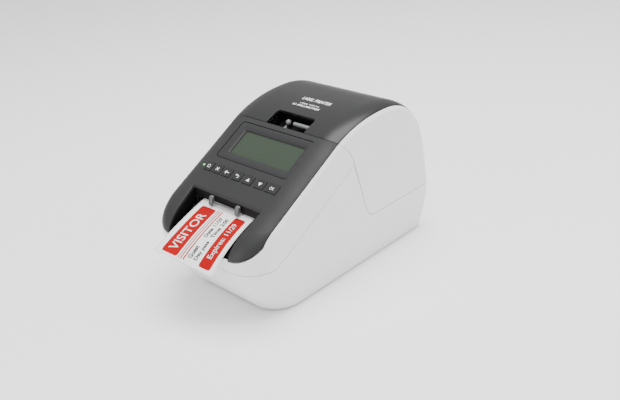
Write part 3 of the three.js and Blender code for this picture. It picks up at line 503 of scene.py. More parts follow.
nose_seam_s = float(crossing(full_lane, 0, lambda p: p[..., 2] - front_seam_z - gap, 0, nose_s)[0])
face_x = full_lane(nose_s, lanes)
face_x = face_x[np.abs(face_x) < trim_x - 1]
face_x = np.concatenate([[-trim_x - gap], face_x, [trim_x + gap]])
ear_s = crossing(plain_lane, face_x, above_ear_line(-gap), nose_seam_s, slope_s1)
rows = nose_seam_s + np.linspace(0, 1, trim_steps)[:, None] * (ear_s - nose_seam_s)
face = skin(rows, plain_lane(rows, face_x[None]))

turns = np.linspace(0, 1, 12)
lid_s = crossing(edge_lane, turns, past_lid_line(-gap), slope_s0, crown_s)
low = nose_seam_s + np.linspace(0, 1, trim_steps)[:, None] * (ear_s[-1] - nose_seam_s) + 0 * lid_s
high = ear_s[-1] + np.linspace(0, 1, cheek_steps)[1:, None] * (lid_s - ear_s[-1])
rows = np.vstack([low, high])
strip = skin(rows, edge_lane(rows, turns[None]))

outer = strip[:, -1, 1:]
seam = seam_line(gap)
seam = np.vstack([outer[0], seam[seam[:, 0] > outer[0, 0]]])
meet = np.array([knee_y - gap, slope_z(knee_y - gap) - seam_drop + gap])
seam[-1] = meet
edge = lid_line(-gap)[:26]
edge = edge[(edge[:, 1] > meet[1]) & (edge[:, 1] < outer[-1, 1])][::-1]
low = np.vstack([resample(seam, 40)[:-1],
                 resample(np.vstack([meet, edge, outer[-1]]), len(outer) - 39)])
ends = np.ones((16, 1))
cheek = flat_side(coons(low, outer, ends * outer[0], ends * outer[-1]))
shell("front_cover_shell", [face], "base", white_abs, ["front_cover"],
      mirrored=[strip, cheek])

# ---- Control panel ------------------------------------------------------------------------
# Black ABS with a matt grain, let into the front cover. It slopes down to two ears beside the
# label outlet, and carries the display and seven keys.
black_abs = finish("black_abs", (0.022, 0.022, 0.0225), (0.017, 0.017, 0.0175), 0.42, 0.55, 0.35,
                   shine=0.26)

outlet_y, outlet_half = -82.0, 41
outlet_s = slope_s0 + (outlet_y - slope_y0) / math.cos(slope)
ear_roll, lintel_z = 1.6, 83.4
key_u, key_height = -72.6, 8.4
keys = {"power": (-40.4, 8.6), "cancel": (-29.4, 9.2), "feed_cut": (-17.3, 9.6),
        "back": (-4.8, 9.6), "up": (8.6, 10.2), "down": (22.4, 10.6), "ok": (36.2, 12.2)}
bezel = (-43.5, 42.5, -61.0, -19.4)
key_gap = 0.3


def path_at(u):
    """Path length at u, the distance up the slope from y = 0."""
    return slope_s0 + u - slope_y0 / math.cos(slope)


def recess_x(y):
    """Half width of the outlet: it narrows from the panel towards the nose."""
    return outlet_half - 4.5 * (outlet_y - y) / 40


def rolled(e, radius):
    """Drop of an edge rounded by radius, at distance e from it: a quarter circle."""
    return radius - np.sqrt(radius ** 2 - np.clip(radius - e, 0, radius) ** 2)


holes = [(x - w / 2 - key_gap, x + w / 2 + key_gap, key_u - key_height / 2 - key_gap,
          key_u + key_height / 2 + key_gap) for x, w in keys.values()]
holes += [bezel, (-49.0, -46.2, key_u - 1.4, key_u + 1.4)]
near = ear_roll * (1 - np.cos(np.linspace(0, math.pi / 2, 6)))
fixed_x = np.concatenate([[h[0] for h in holes], [h[1] for h in holes], outlet_half + near,
                          -outlet_half - near])
shoulder_x = np.linspace(45, trim_x - gap, 12)
even_x = np.concatenate([np.linspace(-40, 40, 25), shoulder_x, -shoulder_x])
even_x = even_x[np.min(np.abs(even_x[:, None] - fixed_x), axis=1) > 0.5]
panel_x = np.unique(np.round(np.concatenate([fixed_x, even_x]), 4))

ear_s = crossing(plain_lane, panel_x, above_ear_line(gap), nose_seam_s, slope_s1)
lid_s = crossing(plain_lane, panel_x, past_lid_line(-gap), slope_s0, crown_s)
fixed_s = np.unique(np.round([path_at(u) for h in holes for u in h[2:]], 4))
even_s = np.linspace(outlet_s + ear_roll + 1, path_at(bezel[3]) - 1, 24)
even_s = even_s[np.min(np.abs(even_s[:, None] - fixed_s), axis=1) > 0.8]
middle_s = np.unique(np.concatenate([outlet_s + near, fixed_s, even_s]))
ear_rows = 44
low = ear_s + np.linspace(0, 1, ear_rows)[:-1, None] * (outlet_s - ear_s)
high = middle_s[-1] + np.linspace(0, 1, 6)[1:, None] * (lid_s - middle_s[-1])
rows = np.vstack([low, middle_s[:, None] + 0 * panel_x, high])

# Beside the outlet the columns from its edge outwards lean in with the recess.
size = np.abs(panel_x)
lean = np.interp(rows, path_s, path[:, 0])
lean = np.where(rows < outlet_s, recess_x(lean), outlet_half)
ear_x = lean + (size - outlet_half) * (trim_x - gap - lean) / (trim_x - gap - outlet_half)
x = np.where(size >= outlet_half, np.sign(panel_x) * ear_x, panel_x)
panel = skin(rows, x)
beside, behind = np.maximum(np.abs(x) - lean, 0), np.maximum(rows - outlet_s, 0)
panel[..., 2] -= rolled(np.hypot(beside, behind), ear_roll)
cell_x = (panel_x[1:] + panel_x[:-1]) / 2
cell_s = (rows[1:, :-1] + rows[:-1, 1:]) / 2
cell_u = cell_s - path_at(0)
dropped = [(cell_x > x0) & (cell_x < x1) & (cell_u > u0) & (cell_u < u1)
           for x0, x1, u0, u1 in holes]
dropped.append((np.abs(cell_x) < outlet_half) & (cell_s < outlet_s))
panel_keep = ~np.any(dropped, axis=0)

edge_column = int(np.argmin(np.abs(panel_x - outlet_half)))
rim = panel[:ear_rows, edge_column]
floor_z = np.interp(rim[:, 1], [nose_y, nose_y + 4, -80], [61.0, 61.4, 76.8])
v = np.linspace(0, 1, 10)[:, None]
ear_wall = np.stack([rim[:, 0] + 0 * v, rim[:, 1] + 0 * v,
                     rim[:, 2] * (1 - v) + np.minimum(floor_z, rim[:, 2] - 0.05) * v], -1)
lip_columns = np.abs(panel_x) <= outlet_half + 0.0001
lip = panel[ear_rows - 1, lip_columns]
lip_wall = np.stack([lip[:, 0] + 0 * v, lip[:, 1] + 0 * v, lip[:, 2] * (1 - v) + lintel_z * v], -1)
shell("front_panel_shell", [(panel, panel_keep)], "base", black_abs,
      ["front_panel"], thickness=2.0, edge=0.3)

# The outlet's side walls and the wall under the panel's front edge, in a black much deeper than the
# panel's: painted shade, standing for the dark of the recess.
inner_black = finish("inner_black", (0.005, 0.005, 0.005), (0.0035, 0.0035, 0.0035), 0.5, 0.65, 0.3,
                     shine=0.12)
shell("outlet_walls_painted_shade", [lip_wall], "base", inner_black, (), mirrored=[ear_wall],
      thickness=1.2, edge=0.1)

# ---- Display ------------------------------------------------------------------------------
# A satin bezel let into the panel frames the liquid crystal window. Its border slopes down to
# the glass, which is a little recessed and shows the grey-green of the unlit display.
gloss_black = finish("gloss_black", (0.012, 0.012, 0.0125), (0.009, 0.009, 0.0095), 0.26, 0.33,
                     shine=0.34)
bezel_black = finish("bezel_black", (0.020, 0.020, 0.021), (0.016, 0.016, 0.017), 0.34, 0.44, 0.1,
                     shine=0.24)


def ring(x0, x1, u0, u1, radius, arc=6):
    """Closed outline of a rectangle with round corners: a quarter circle at each corner."""
    turn = np.linspace(0, math.pi / 2, arc + 1)
    turn = np.concatenate([turn + quarter * math.pi / 2 for quarter in range(4)])
    middle_x = np.repeat([x1 - radius, x0 + radius, x0 + radius, x1 - radius], arc + 1)
    middle_u = np.repeat([u1 - radius, u1 - radius, u0 + radius, u0 + radius], arc + 1)
    return np.stack([middle_x + radius * np.cos(turn), middle_u + radius * np.sin(turn)], -1)


def on_slope(x, u, w):
    """Point at x and u on the panel's plane, w above it."""
    y = u * math.cos(slope) - w * math.sin(slope)
    return np.stack([x, y, panel_z + u * math.sin(slope) + w * math.cos(slope)], -1)


def stacked(profile, x0, x1, u0, u1, radius, arc=6):
    """Rings on the slope: each step of the profile insets the outline and raises it."""
    rings = []
    for inset, w in profile:
        outline = ring(x0 + inset, x1 - inset, u0 + inset, u1 - inset, max(radius - inset, 0.15),
                       arc)
        rings.append(on_slope(outline[:, 0], outline[:, 1], w))
    return np.array(rings)


def ring_faces(rows, columns, low_cap=True, high_cap=True):
    """Quads between closed rings, and a flat cap on the first and the last."""
    corner = np.arange((rows - 1) * columns).reshape(rows - 1, columns)
    beside = np.roll(corner, -1, axis=1)
    faces = np.stack([corner, beside, beside + columns, corner + columns], -1).reshape(-1, 4)
    faces = faces.tolist()
    if low_cap:
        faces.append(list(range(columns))[::-1])
    if high_cap:
        faces.append(list(range((rows - 1) * columns, rows * columns)))
    return faces


def moulding(name, rings, body, material, replaces=(), caps=(True, True), edge=0):
    """A closed moulding from a stack of rings, with sharp edges kept or softened."""
    piece = place_mesh(name, rings.reshape(-1, 3), ring_faces(*rings.shape[:2], *caps), body,
                       material, replaces)
    piece.data.set_sharp_from_angle(angle=math.radians(40))
    if edge:
        soften(piece, edge)
    return piece


round_over = np.linspace(0, math.pi / 2, 5)


def rounded_top(w, radius, inset=0.0):
    """Profile steps of an edge that turns through a quarter circle and ends at height w."""
    return [(inset + radius * (1 - math.cos(a)), w - radius * (1 - math.sin(a)))
            for a in round_over]


groove = 0.45
window = (-32.5, 37.5, -53.0, -28.0)
frame_box = (bezel[0] + groove, bezel[1] - groove, bezel[2] + groove, bezel[3] - groove)
profile = [(0, -3.0)] + rounded_top(-0.15, 0.5)
outer = stacked(profile, *frame_box, 3.0, 8)
inner = stacked([(-1.3, -0.15), (-0.5, -0.5), (0, -1.3), (0, -2.2)], *window, 1.4, 8)
moulding("display_bezel", np.concatenate([outer, inner]), "base", bezel_black,
         caps=(False, False))

# Groove round the bezel, part of the panel's moulding: it rounds the corners of the opening.
floor_rings = np.array([on_slope(*ring(*bezel, 0.05, 8).T, 0.0),
                        on_slope(*ring(*bezel, 3.4, 8).T, 0.0),
                        on_slope(*ring(*bezel, 3.4, 8).T, -1.9),
                        on_slope(*ring(*frame_box, 3.0, 8).T, -1.9)])
moulding("bezel_groove", floor_rings, "base", black_abs, caps=(False, False))

lcd = bpy.data.materials.new("display_glass")
lcd.use_nodes = True
nodes, links = lcd.node_tree.nodes, lcd.node_tree.links
shader = nodes["Principled BSDF"]
shader.inputs["Specular IOR Level"].default_value = 0.16
place = nodes.new("ShaderNodeTexCoord")
cells = nodes.new("ShaderNodeTexVoronoi")
cells.inputs["Scale"].default_value = 900.0
tone = nodes.new("ShaderNodeValToRGB")
tone.color_ramp.elements[0].color = (0.030, 0.042, 0.029, 1)
tone.color_ramp.elements[1].color = (0.033, 0.046, 0.032, 1)
links.new(place.outputs["Object"], cells.inputs["Vector"])
links.new(cells.outputs["Distance"], tone.inputs["Fac"])
links.new(tone.outputs["Color"], shader.inputs["Base Color"])
gloss = nodes.new("ShaderNodeMapRange")
gloss.inputs["To Min"].default_value = 0.25
gloss.inputs["To Max"].default_value = 0.28
links.new(cells.outputs["Distance"], gloss.inputs["Value"])
links.new(gloss.outputs["Result"], shader.inputs["Roughness"])
glass = stacked([(-0.2, -2.6), (-0.2, -1.5)], *window, 1.4, 8)
moulding("display_window", glass, "base", lcd, ["lcd_window"])

# ---- Keys ---------------------------------------------------------------------------------
# Seven rubber-domed keys of the panel's black plastic, each a cap with rounded edges and a
# white printed sign, and a round green light at the left end of the row.
key_black = finish("key_black", (0.018, 0.018, 0.019), (0.014, 0.014, 0.015), 0.38, 0.48, 0.1,
                   shine=0.24)
sign_white = finish("sign_white", (0.82, 0.82, 0.82), (0.75, 0.75, 0.75), 0.5, 0.6)
key_top = 0.75


def circle(radius, count, start=0.0, stop=2 * math.pi):
    """Points on a circle of a radius, from one angle to another."""
    a = np.linspace(start, stop, count)
    return np.stack([radius * np.cos(a), radius * np.sin(a)], -1)


def bar(length, width, angle=0.0, at=(0, 0)):
    """A thin rectangle about a point, turned by an angle."""
    corners = np.array([(-1, -1), (1, -1), (1, 1), (-1, 1)]) * (length / 2, width / 2)
    c, s = math.cos(angle), math.sin(angle)
    return corners @ np.array([[c, s], [-s, c]]) + at


def band(inner, outer):
    """Quads between two open lines of the same number of points."""
    return [np.array([inner[i], outer[i], outer[i + 1], inner[i + 1]])
            for i in range(len(inner) - 1)]


def letters(text, width, tall, weight=0.0):
    """Vertices and faces of flat lettering, fitted to a width and height about its middle.
    Its strokes are made heavier by weight, a share of the letters' size."""
    curve = bpy.data.curves.new("letters", "FONT")
    curve.body = text
    curve.resolution_u = 4
    curve.offset = weight
    holder = bpy.data.objects.new("letters", curve)
    bpy.context.scene.collection.objects.link(holder)
    bpy.context.view_layer.update()
    mesh = bpy.data.meshes.new_from_object(
        holder.evaluated_get(bpy.context.evaluated_depsgraph_get()))
    flat = np.empty(len(mesh.vertices) * 3)
    mesh.vertices.foreach_get("co", flat)
    flat = flat.reshape(-1, 3)[:, :2]
    faces = [list(p.vertices) for p in mesh.polygons]
    bpy.data.objects.remove(holder)
    bpy.data.curves.remove(curve)
    bpy.data.meshes.remove(mesh)
    low, high = flat.min(axis=0), flat.max(axis=0)
    return (flat - (low + high) / 2) / (high - low) * (width, tall), faces


def outlines(polygons):
    """Vertices and faces of a sign made of separate outlines."""
    flat, faces, first = [], [], 0
    for polygon in polygons:
        faces.append(list(range(first, first + len(polygon))))
        flat.append(polygon)
        first += len(polygon)
    return np.vstack(flat), faces


arrow = np.array([(-2.3, 0.6), (-0.9, -0.6), (-0.9, 1.8)])
signs = {
    "power": outlines(band(circle(1.25, 21), circle(1.75, 21))),
    "cancel": outlines([bar(4.2, 0.75, 0.75), bar(4.2, 0.75, -0.75)]),
    "feed_cut": outlines([bar(4.6, 0.8), bar(1.6, 0.7, 0.9, (-1.4, 0.9)),
                          bar(1.6, 0.7, -0.9, (-1.4, -0.9))]),
    "back": outlines(band(circle(1.0, 9, -1.57, 1.57) + (0.5, -0.4),
                          circle(1.6, 9, -1.57, 1.57) + (0.5, -0.4))
                     + [bar(1.4, 0.6, 0, (-0.2, 0.9)), arrow + (0, 0.3)]),
    "up": outlines([np.array([(-2.0, -1.4), (2.0, -1.4), (0, 1.7)])]),
    "down": outlines([np.array([(-2.0, 1.4), (0, -1.7), (2.0, 1.4)])]),
    "ok": letters("OK", 4.6, 2.6),
}
dish = [(1.2, key_top - 0.05), (2.2, key_top - 0.1)]
for key, (x, key_width) in keys.items():
    key_box = (x - key_width / 2, x + key_width / 2, key_u - key_height / 2, key_u + key_height / 2)
    profile = [(0, -3.4)] + rounded_top(key_top, 0.55) + dish
    moulding(f"{key}_key", stacked(profile, *key_box, 0.9), f"{key}_button",
             key_black, [f"{key}_button"])
    flat, faces = signs[key]
    place_mesh(f"{key}_sign", on_slope(flat[:, 0] + x, flat[:, 1] + key_u, key_top + 0.02), faces,
               f"{key}_button", sign_white)

led = bpy.data.materials.new("led_green")
led.use_nodes = True
nodes, links = led.node_tree.nodes, led.node_tree.links
shader = nodes["Principled BSDF"]
shader.inputs["Roughness"].default_value = 0.25
shader.inputs["Emission Strength"].default_value = 0.35
place = nodes.new("ShaderNodeTexCoord")
centre = nodes.new("ShaderNodeMapping")
led_point = on_slope(np.array(-47.6), np.array(key_u), 0.4) + (0, forward, 0)
centre.inputs["Location"].default_value = -led_point / 1000
reach = nodes.new("ShaderNodeVectorMath")
reach.operation = "LENGTH"
tone = nodes.new("ShaderNodeValToRGB")
tone.color_ramp.elements[0].color = (0.16, 0.85, 0.14, 1)
tone.color_ramp.elements[1].position = 0.0016
tone.color_ramp.elements[1].color = (0.010, 0.16, 0.016, 1)
links.new(place.outputs["Object"], centre.inputs["Vector"])
links.new(centre.outputs["Vector"], reach.inputs[0])
links.new(reach.outputs["Value"], tone.inputs["Fac"])
links.new(tone.outputs["Color"], shader.inputs["Base Color"])
links.new(tone.outputs["Color"], shader.inputs["Emission Color"])
lens = stacked([(0, -2.0)] + rounded_top(0.3, 0.8) + [(1.1, 0.36)], -48.85, -46.35,
               key_u - 1.25, key_u + 1.25, 1.25)
moulding("status_lens", lens, "base", led, ["status_led"])

# ---- Lid ----------------------------------------------------------------------------------
# The lid hinges at the rear. Its top is a satin black moulding from the panel over the crown
# and down the back, with a notch at the front through which the roll is seen.
notch_x, notch_s, notch_round = (-19.5, 25.0), path_at(3.5), 3.5
rear_trim_z = height - 50

top_s = np.concatenate([np.linspace(notch_s, crown_s, 16),
                        np.linspace(crown_s, shoulder_s, 34)[1:]])
even_x = np.concatenate([np.linspace(-42, 42, 25), np.linspace(44.5, trim_x - gap, 16),
                         -np.linspace(44.5, trim_x - gap, 16)])
even_x = even_x[np.min(np.abs(even_x[:, None] - notch_x), axis=1) > 1]
lid_x = np.unique(np.concatenate([even_x, notch_x]))
start_s = crossing(plain_lane, lid_x, past_lid_line(gap), slope_s0, crown_s)
stop_s = crossing(plain_lane, lid_x, lambda p: rear_trim_z - p[..., 2], crown_s, foot_s)
curl = notch_s - notch_round * (1 - np.sin(np.linspace(0, math.pi / 2, 7)))
low = start_s + np.linspace(0, 1, 14)[:-1, None] * (curl[0] - start_s)
middle = np.concatenate([curl[:-1], top_s[:-8]])[:, None] + 0 * lid_x
high = top_s[-9] + np.linspace(0, 1, 12)[1:, None] * (stop_s - top_s[-9])
rows = np.vstack([low, middle, high])
into = np.clip(rows - curl[0], 0, notch_round)
into = notch_round - np.sqrt(notch_round ** 2 - into ** 2)
into *= np.clip(1 - (rows - notch_s) / 12, 0, 1)
shift = sum(np.clip(1 - np.abs(lid_x - x) / 9, 0, 1) * sign for x, sign in zip(notch_x, (1, -1)))
lid_skin = skin(rows, lid_x + into * shift)
cell_x, cell_s = (lid_x[1:] + lid_x[:-1]) / 2, (rows[1:, :-1] + rows[:-1, 1:]) / 2
lid_keep = ~((cell_x > notch_x[0]) & (cell_x < notch_x[1]) & (cell_s < notch_s))
shell("lid_top_shell", [(lid_skin, lid_keep)], "lid", gloss_black, ["lid_top"],
      edge=0.7)

# The lid's white skirt: both sides, and the back below the gloss top. ABS like the base.
turns = np.linspace(0, 1, 12)
start_s = crossing(edge_lane, turns, past_lid_line(gap), slope_s0, crown_s)
trim_s = crossing(edge_lane, [0.0], lambda p: rear_trim_z - 2 * gap - p[..., 2], crown_s, foot_s)[0]


def skirt_foot(p):
    """Signed test: positive below the skirt's lower edge, which rises round the hinge."""
    return parting_z + gap + 2.3 * np.clip(p[..., 1] - relief_y, 0, 1) - p[..., 2]


end_s = crossing(edge_lane, turns, skirt_foot, crown_s, foot_s)
over_rows, back_rows = 90, 22
low = start_s + np.linspace(0, 1, over_rows)[:-1, None] * (trim_s - start_s)
high = trim_s + np.linspace(0, 1, back_rows)[:, None] * (end_s - trim_s)
rows = np.vstack([low, high])
strip = skin(rows, edge_lane(rows, turns[None]))
back_x = np.concatenate([[-trim_x - gap], np.linspace(-58, 58, 27), [trim_x + gap]])
low_s = crossing(plain_lane, back_x, lambda p: rear_trim_z - 2 * gap - p[..., 2], crown_s, foot_s)
high_s = crossing(plain_lane, back_x, skirt_foot, crown_s, foot_s)
rows = low_s + np.linspace(0, 1, back_rows)[:, None] * (high_s - low_s)
back_face = skin(rows, plain_lane(rows, back_x[None]))
outer = strip[:, -1, 1:]
edge = lid_line(gap)
corner = edge[-15:]
edge = edge[(edge[:, 1] < outer[0, 1]) & (edge[:, 1] > parting_z + 9)]
down = np.vstack([outer[0], edge, corner])
low = np.vstack([resample(down, 64)[:-1],
                 resample(np.vstack([corner[-1], outer[-1]]), len(outer) - 63)])
ends = np.ones((20, 1))
flank = flat_side(coons(low, outer, ends * outer[0], ends * outer[-1]))
shell("lid_skirt_shell", [back_face], "lid", white_abs, ["lid_skirt"],
      mirrored=[strip, flank])

# Lettering printed on the lid in white: plain words that say what the machine is, larger above
# smaller.
for line, (text, x, u, width, tall) in enumerate([("LABEL PRINTER", 5.0, 27.5, 33.0, 4.4),
                                                  ("LABEL WIDTH", 3.0, 19.5, 22.0, 1.5),
                                                  ("62 MILLIMETRES", 2.0, 15.8, 31.0, 2.4)]):
    flat, faces = letters(text, width, tall, 0.02)
    near_points = skin(path_at(u) + flat[:, 1], x + flat[:, 0])
    ahead = skin(path_at(u) + flat[:, 1] + 0.1, x + flat[:, 0]) - near_points
    lift = np.stack([0 * ahead[:, 0], -ahead[:, 2], ahead[:, 1]], -1)
    lift /= np.linalg.norm(lift, axis=1)[:, None]
    place_mesh(f"lid_lettering_{line + 1}", near_points + 0.06 * lift, faces, "lid",
               sign_white)

# ---- Printed label ------------------------------------------------------------------------
# A 62 mm paper label, printed in red and black, standing half out of the outlet. It curls down
# under its own weight, the right-hand edge more than the left.
label_half, label_reach = 31.0, 62.4
label_left = bezier([(-79.1, 82.0), (-97.0, 76.6), (-121.0, 66.6), (-137.6, 58.2)], 200)
label_right = bezier([(-79.1, 82.0), (-93.0, 78.0), (-113.0, 68.5), (-130.0, 51.6)], 200)


def on_label(x, d, lift=0.0):
    """Point of the label at x and d from its tip: both edges' curves mixed across it."""
    t = np.clip(1 - d / label_reach, 0, 1) * 200
    share = (x / label_half + 1)[..., None] / 2
    left_edge = np.stack([np.interp(t, np.arange(201), column) for column in label_left.T], -1)
    right_edge = np.stack([np.interp(t, np.arange(201), column) for column in label_right.T], -1)
    point = left_edge * (1 - share) + right_edge * share
    return np.stack([x, point[..., 0] - 0.35 * lift, point[..., 1] + 0.94 * lift], -1)


paper = finish("label_paper", (0.86, 0.86, 0.85), (0.80, 0.80, 0.79), 0.55, 0.7, 0.12, 5200.0,
               160.0)
red_ink = finish("red_ink", (0.36, 0.0015, 0.003), (0.32, 0.001, 0.0025), 0.5, 0.65, 0.1, 5200.0,
                 300.0, shine=0.1)
black_ink = finish("black_ink", (0.004, 0.004, 0.004), (0.003, 0.003, 0.003), 0.55, 0.7, 0.1,
                   5200.0, 300.0, shine=0.05)
x, d = np.meshgrid(np.linspace(-label_half, label_half, 33), np.linspace(label_reach, 0, 61),
                   indexing="xy")
sheet = on_label(x, d)
label = place_mesh("label_sheet", sheet.reshape(-1, 3),
                   grid_faces(*x.shape)[:, ::-1].tolist(), "base", paper,
                   ["printed_label"])
thick = label.modifiers.new("thickness", "SOLIDIFY")
thick.thickness = 0.00016
thick.offset = 0


def print_band(name, x0, x1, d0, d1, corner, ink):
    """A printed area between x0 and x1, its ends rounded: columns spread over its width, rows
    over the length that is left at each column beside the corner's quarter circle."""
    x = np.linspace(x0, x1, 33)
    beside = np.clip(corner - np.minimum(x - x0, x1 - x), 0, corner)
    end = corner - np.sqrt(corner ** 2 - beside ** 2)
    t = np.linspace(0, 1, 50)[:, None]
    d = (d0 + end) * (1 - t) + (d1 - end) * t
    points = on_label(x + 0 * d, d, 0.10)
    place_mesh(name, points.reshape(-1, 3), grid_faces(*d.shape).tolist(), "base",
               ink)


def print_text(name, text, x, d, width, tall, ink, weight=0.0, lift=0.14):
    """Lettering that reads from the tip to the printer, its tops towards the left edge."""
    flat, faces = letters(text, width, tall, weight)
    place_mesh(name, on_label(x - flat[:, 1], d + flat[:, 0], lift), faces, "base",
               ink)


print_band("red_band_left", -25.2, -8.2, 3.0, 53.5, 2.2, red_ink)
for line, (x, wide) in enumerate([(-6.2, 0.9), (-3.9, 1.1), (-1.2, 1.4)]):
    print_band(f"red_line_{line + 1}", x - wide / 2, x + wide / 2, 3.0, 54.0, 0.1, red_ink)
print_band("red_band_right", 14.6, 26.6, 3.0, 53.5, 2.2, red_ink)
print_text("print_visitor", "VISITOR", -16.7, 26.5, 38.0, 8.6, sign_white)
print_text("print_date", "Date: 11/29", 3.2, 37.0, 21.0, 4.2, black_ink, 0.035)
print_text("print_time", "Time: 2:00", 9.4, 38.0, 21.0, 4.2, black_ink, 0.035)
print_text("print_guest", "Guest", 3.2, 12.0, 11.5, 4.6, black_ink, 0.035)
print_text("print_pass", "Day pass", 9.6, 15.0, 17.5, 4.8, black_ink, 0.035)
print_text("print_expires", "Expires: 11/29", 20.6, 29.0, 35.0, 6.4, sign_white)

# ---- Label outlet -------------------------------------------------------------------------
# Between the ears a black floor leads the label out. Two grey fingers on a bar hold it down.
finger_grey = finish("finger_grey", (0.10, 0.10, 0.105), (0.07, 0.07, 0.075), 0.35, 0.5, 0.15)


def rod(start, stop, radius, count=24, ends=3):
    """Rings round a straight rod with rounded ends: circles square to its axis."""
    start, stop = np.array(start, float), np.array(stop, float)
    axis = (stop - start) / np.linalg.norm(stop - start)
    side = np.cross(axis, [0, 0, 1] if abs(axis[2]) < 0.9 else [1, 0, 0])
    side /= np.linalg.norm(side)
    upward = np.cross(axis, side)
    a = np.linspace(0, 2 * math.pi, count, endpoint=False)[:, None]
    circle_at = np.cos(a) * side + np.sin(a) * upward
    cap = min(radius * 0.3, 0.6)
    turn = np.linspace(0, math.pi / 2, ends + 1)
    rings = [start + axis * cap * (1 - math.sin(b)) + circle_at * (radius - cap * (1 - math.cos(b)))
             for b in turn[::-1]]
    rings += [stop - axis * cap * (1 - math.sin(b)) + circle_at * (radius - cap * (1 - math.cos(b)))
              for b in turn]
    return np.array(rings)


def plate(outline, x0, x1, rounding=0.3):
    """Rings of an outline in y and z carried across x, its edges drawn in at both faces."""
    outline = np.array(outline, float)
    middle = outline.mean(axis=0)
    away = outline - middle
    inset = away / np.linalg.norm(away, axis=1)[:, None] * rounding
    rings = []
    for x, less in ((x0, 1), (x0 + rounding, 0), (x1 - rounding, 0), (x1, 1)):
        y_z = outline - inset * less
        rings.append(np.concatenate([np.full((len(outline), 1), x), y_z], -1))
    return np.array(rings)[::-1]


nip_z = slope_z(-58.0) - 24
finger = np.vstack([bezier([(-82.4, nip_z + 8), (-85.0, nip_z + 8.6), (-85.6, nip_z + 5)], 5),
                    bezier([(-85.8, nip_z + 4.2), (-87.4, nip_z + 0.6), (-85.9, nip_z - 0.3)], 5),
                    [(-84.6, nip_z + 1.0), (-82.4, nip_z + 3.2)]])
for name, x in (("left", -16.0), ("right", 16.0)):
    moulding(f"outlet_finger_{name}", plate(finger, x - 2.0, x + 2.0, 0.4), "base",
             finger_grey, ["outlet_guide"])
moulding("outlet_bar", rod((-15, -83.4, nip_z + 3), (15, -83.4, nip_z + 3), 0.8), "base",
         finger_grey)

# ---- Roll sight ---------------------------------------------------------------------------
# Through the notch one sees a black tray with the roll's guide in it: a ball-ended bar.
def ball(centre, radius, rings=12, count=24):
    """Rings of a sphere between two small caps, as latitude circles."""
    turn = np.linspace(-1.45, 1.45, rings)[:, None]
    a = np.linspace(0, 2 * math.pi, count, endpoint=False)[None]
    around = np.stack([np.cos(turn) * np.cos(a), np.cos(turn) * np.sin(a),
                       np.sin(turn) + 0 * a], -1)
    return np.array(centre) + around * radius


guide_grey = finish("guide_grey", (0.20, 0.20, 0.205), (0.15, 0.15, 0.155), 0.25, 0.36)
centre = on_slope(np.array(-7.0), np.array(-2.2), -9.5)
moulding("guide_ball", ball(centre, 2.6), "lid", guide_grey, ["sight_guide"])
start = on_slope(np.array(1.0), np.array(-3.2), -8.2)
stop = on_slope(np.array(23.2), np.array(-3.2), -8.2)
moulding("guide_bar", rod(start, stop, 1.8, 24, 4), "lid", guide_grey)
arrow_flat = np.array([(-9.6, -11.0), (-7.0, -5.6), (-4.4, -11.0), (-5.6, -11.0), (-7.0, -8.0),
                       (-8.4, -11.0)])
arrow_rings = np.array([on_slope(arrow_flat[:, 0], arrow_flat[:, 1], w) for w in (-11.5, -9.5)])
moulding("guide_pointer", arrow_rings, "lid", guide_grey)

# ---- Hinge --------------------------------------------------------------------------------
# The lid's barrel turns on two steel pins, held by lugs of the base. ABS, moulded with both.
hinge_y, hinge_z, barrel_half, lug_x = rear_y - 3, 51.5, 37.7, 40.0
moulding("hinge_barrel", rod((-barrel_half, hinge_y, hinge_z), (barrel_half, hinge_y, hinge_z), 3.0,
                             32), "lid", white_abs)
for name, sign in (("left", -1), ("right", 1)):
    a = np.linspace(-0.2, math.pi + 0.2, 15)
    lug = np.stack([hinge_y + 2.9 * np.cos(a) - 0.1, hinge_z + 2.9 * np.sin(a)], -1)
    lug = np.vstack([lug, [(hinge_y - 3, 36), (hinge_y - 0.6, 36)]])
    moulding(f"hinge_lug_{name}", plate(lug, sign * lug_x - 2, sign * lug_x + 2), "base",
             white_abs)
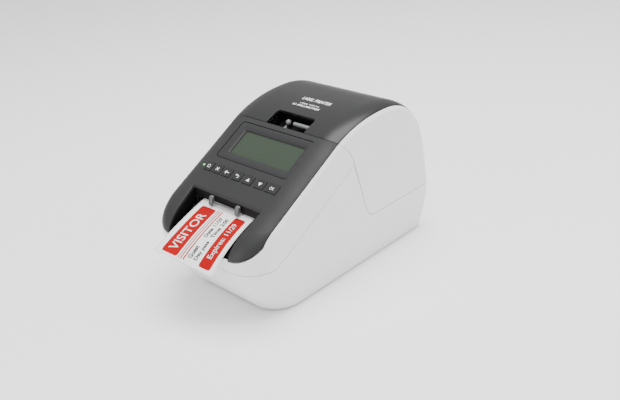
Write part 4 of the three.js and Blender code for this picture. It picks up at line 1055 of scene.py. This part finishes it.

# ---- Everything inside, and what needs no new shape ----------------------------------------
# The mechanism, the roll, the boards and the small parts keep their CAD shapes, each with a finish
# of its own real material; the black parts inside take the panel's black deepened by painted shade.
steel = finish("steel", (0.56, 0.57, 0.58), (0.46, 0.47, 0.48), 0.24, 0.40, 0.2, 900.0, 120.0, 1.0)
aluminium = finish("aluminium", (0.72, 0.73, 0.74), (0.62, 0.63, 0.64), 0.28, 0.42, 0.2, 1500.0,
                   90.0, 1.0)
rubber = finish("rubber", (0.022, 0.022, 0.022), (0.015, 0.015, 0.015), 0.75, 0.9, 0.5, 3600.0)
acetal = finish("acetal", (0.70, 0.66, 0.56), (0.62, 0.58, 0.49), 0.35, 0.5, 0.15)
ceramic = finish("ceramic", (0.17, 0.085, 0.045), (0.12, 0.06, 0.035), 0.2, 0.35, 0.1)
board = finish("board", (0.016, 0.105, 0.045), (0.010, 0.075, 0.030), 0.3, 0.55, 0.3, 1400.0, 260.0)
cardboard = finish("cardboard", (0.33, 0.20, 0.10), (0.26, 0.155, 0.075), 0.8, 0.95, 0.6, 1800.0,
                   220.0)
grey_abs = finish("grey_abs", (0.26, 0.265, 0.27), (0.22, 0.225, 0.23), 0.4, 0.55, 0.25)
carried = {
    steel: ["network_port", "usb_b_port", "usb_a_port", "hinge_pin_left", "hinge_pin_right",
            "mechanism_frame", "feed_motor", "head_spring_left", "head_spring_right",
            "fixed_blade", "cutter_motor", "platen_shaft", "motor_pinion", "moving_blade",
            "case_screw_front_left", "case_screw_front_right", "case_screw_rear_left",
            "case_screw_rear_right"],
    aluminium: ["heat_sink"],
    rubber: ["foot_front_left", "foot_front_right", "foot_rear_left", "foot_rear_right",
             "platen_roller"],
    acetal: ["platen_gear", "idler_gear", "cutter_crank"],
    ceramic: ["print_head"],
    board: ["panel_board", "main_board"],
    cardboard: ["roll_core"],
    paper: ["label_roll", "label_web"],
    grey_abs: ["lcd_module", "spool_arm_left", "spool_arm_right"],
    # Painted shade: these parts inside take a black made deeper than the panel's, to stand for the
    # shade they sit in.
    inner_black: ["power_inlet", "lid_catch_left", "lid_catch_right", "sight_tray",
                  "outlet_chute", "roll_tray"],
}
for material, names in carried.items():
    for name in names:
        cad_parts[name].material_slots[0].material = material
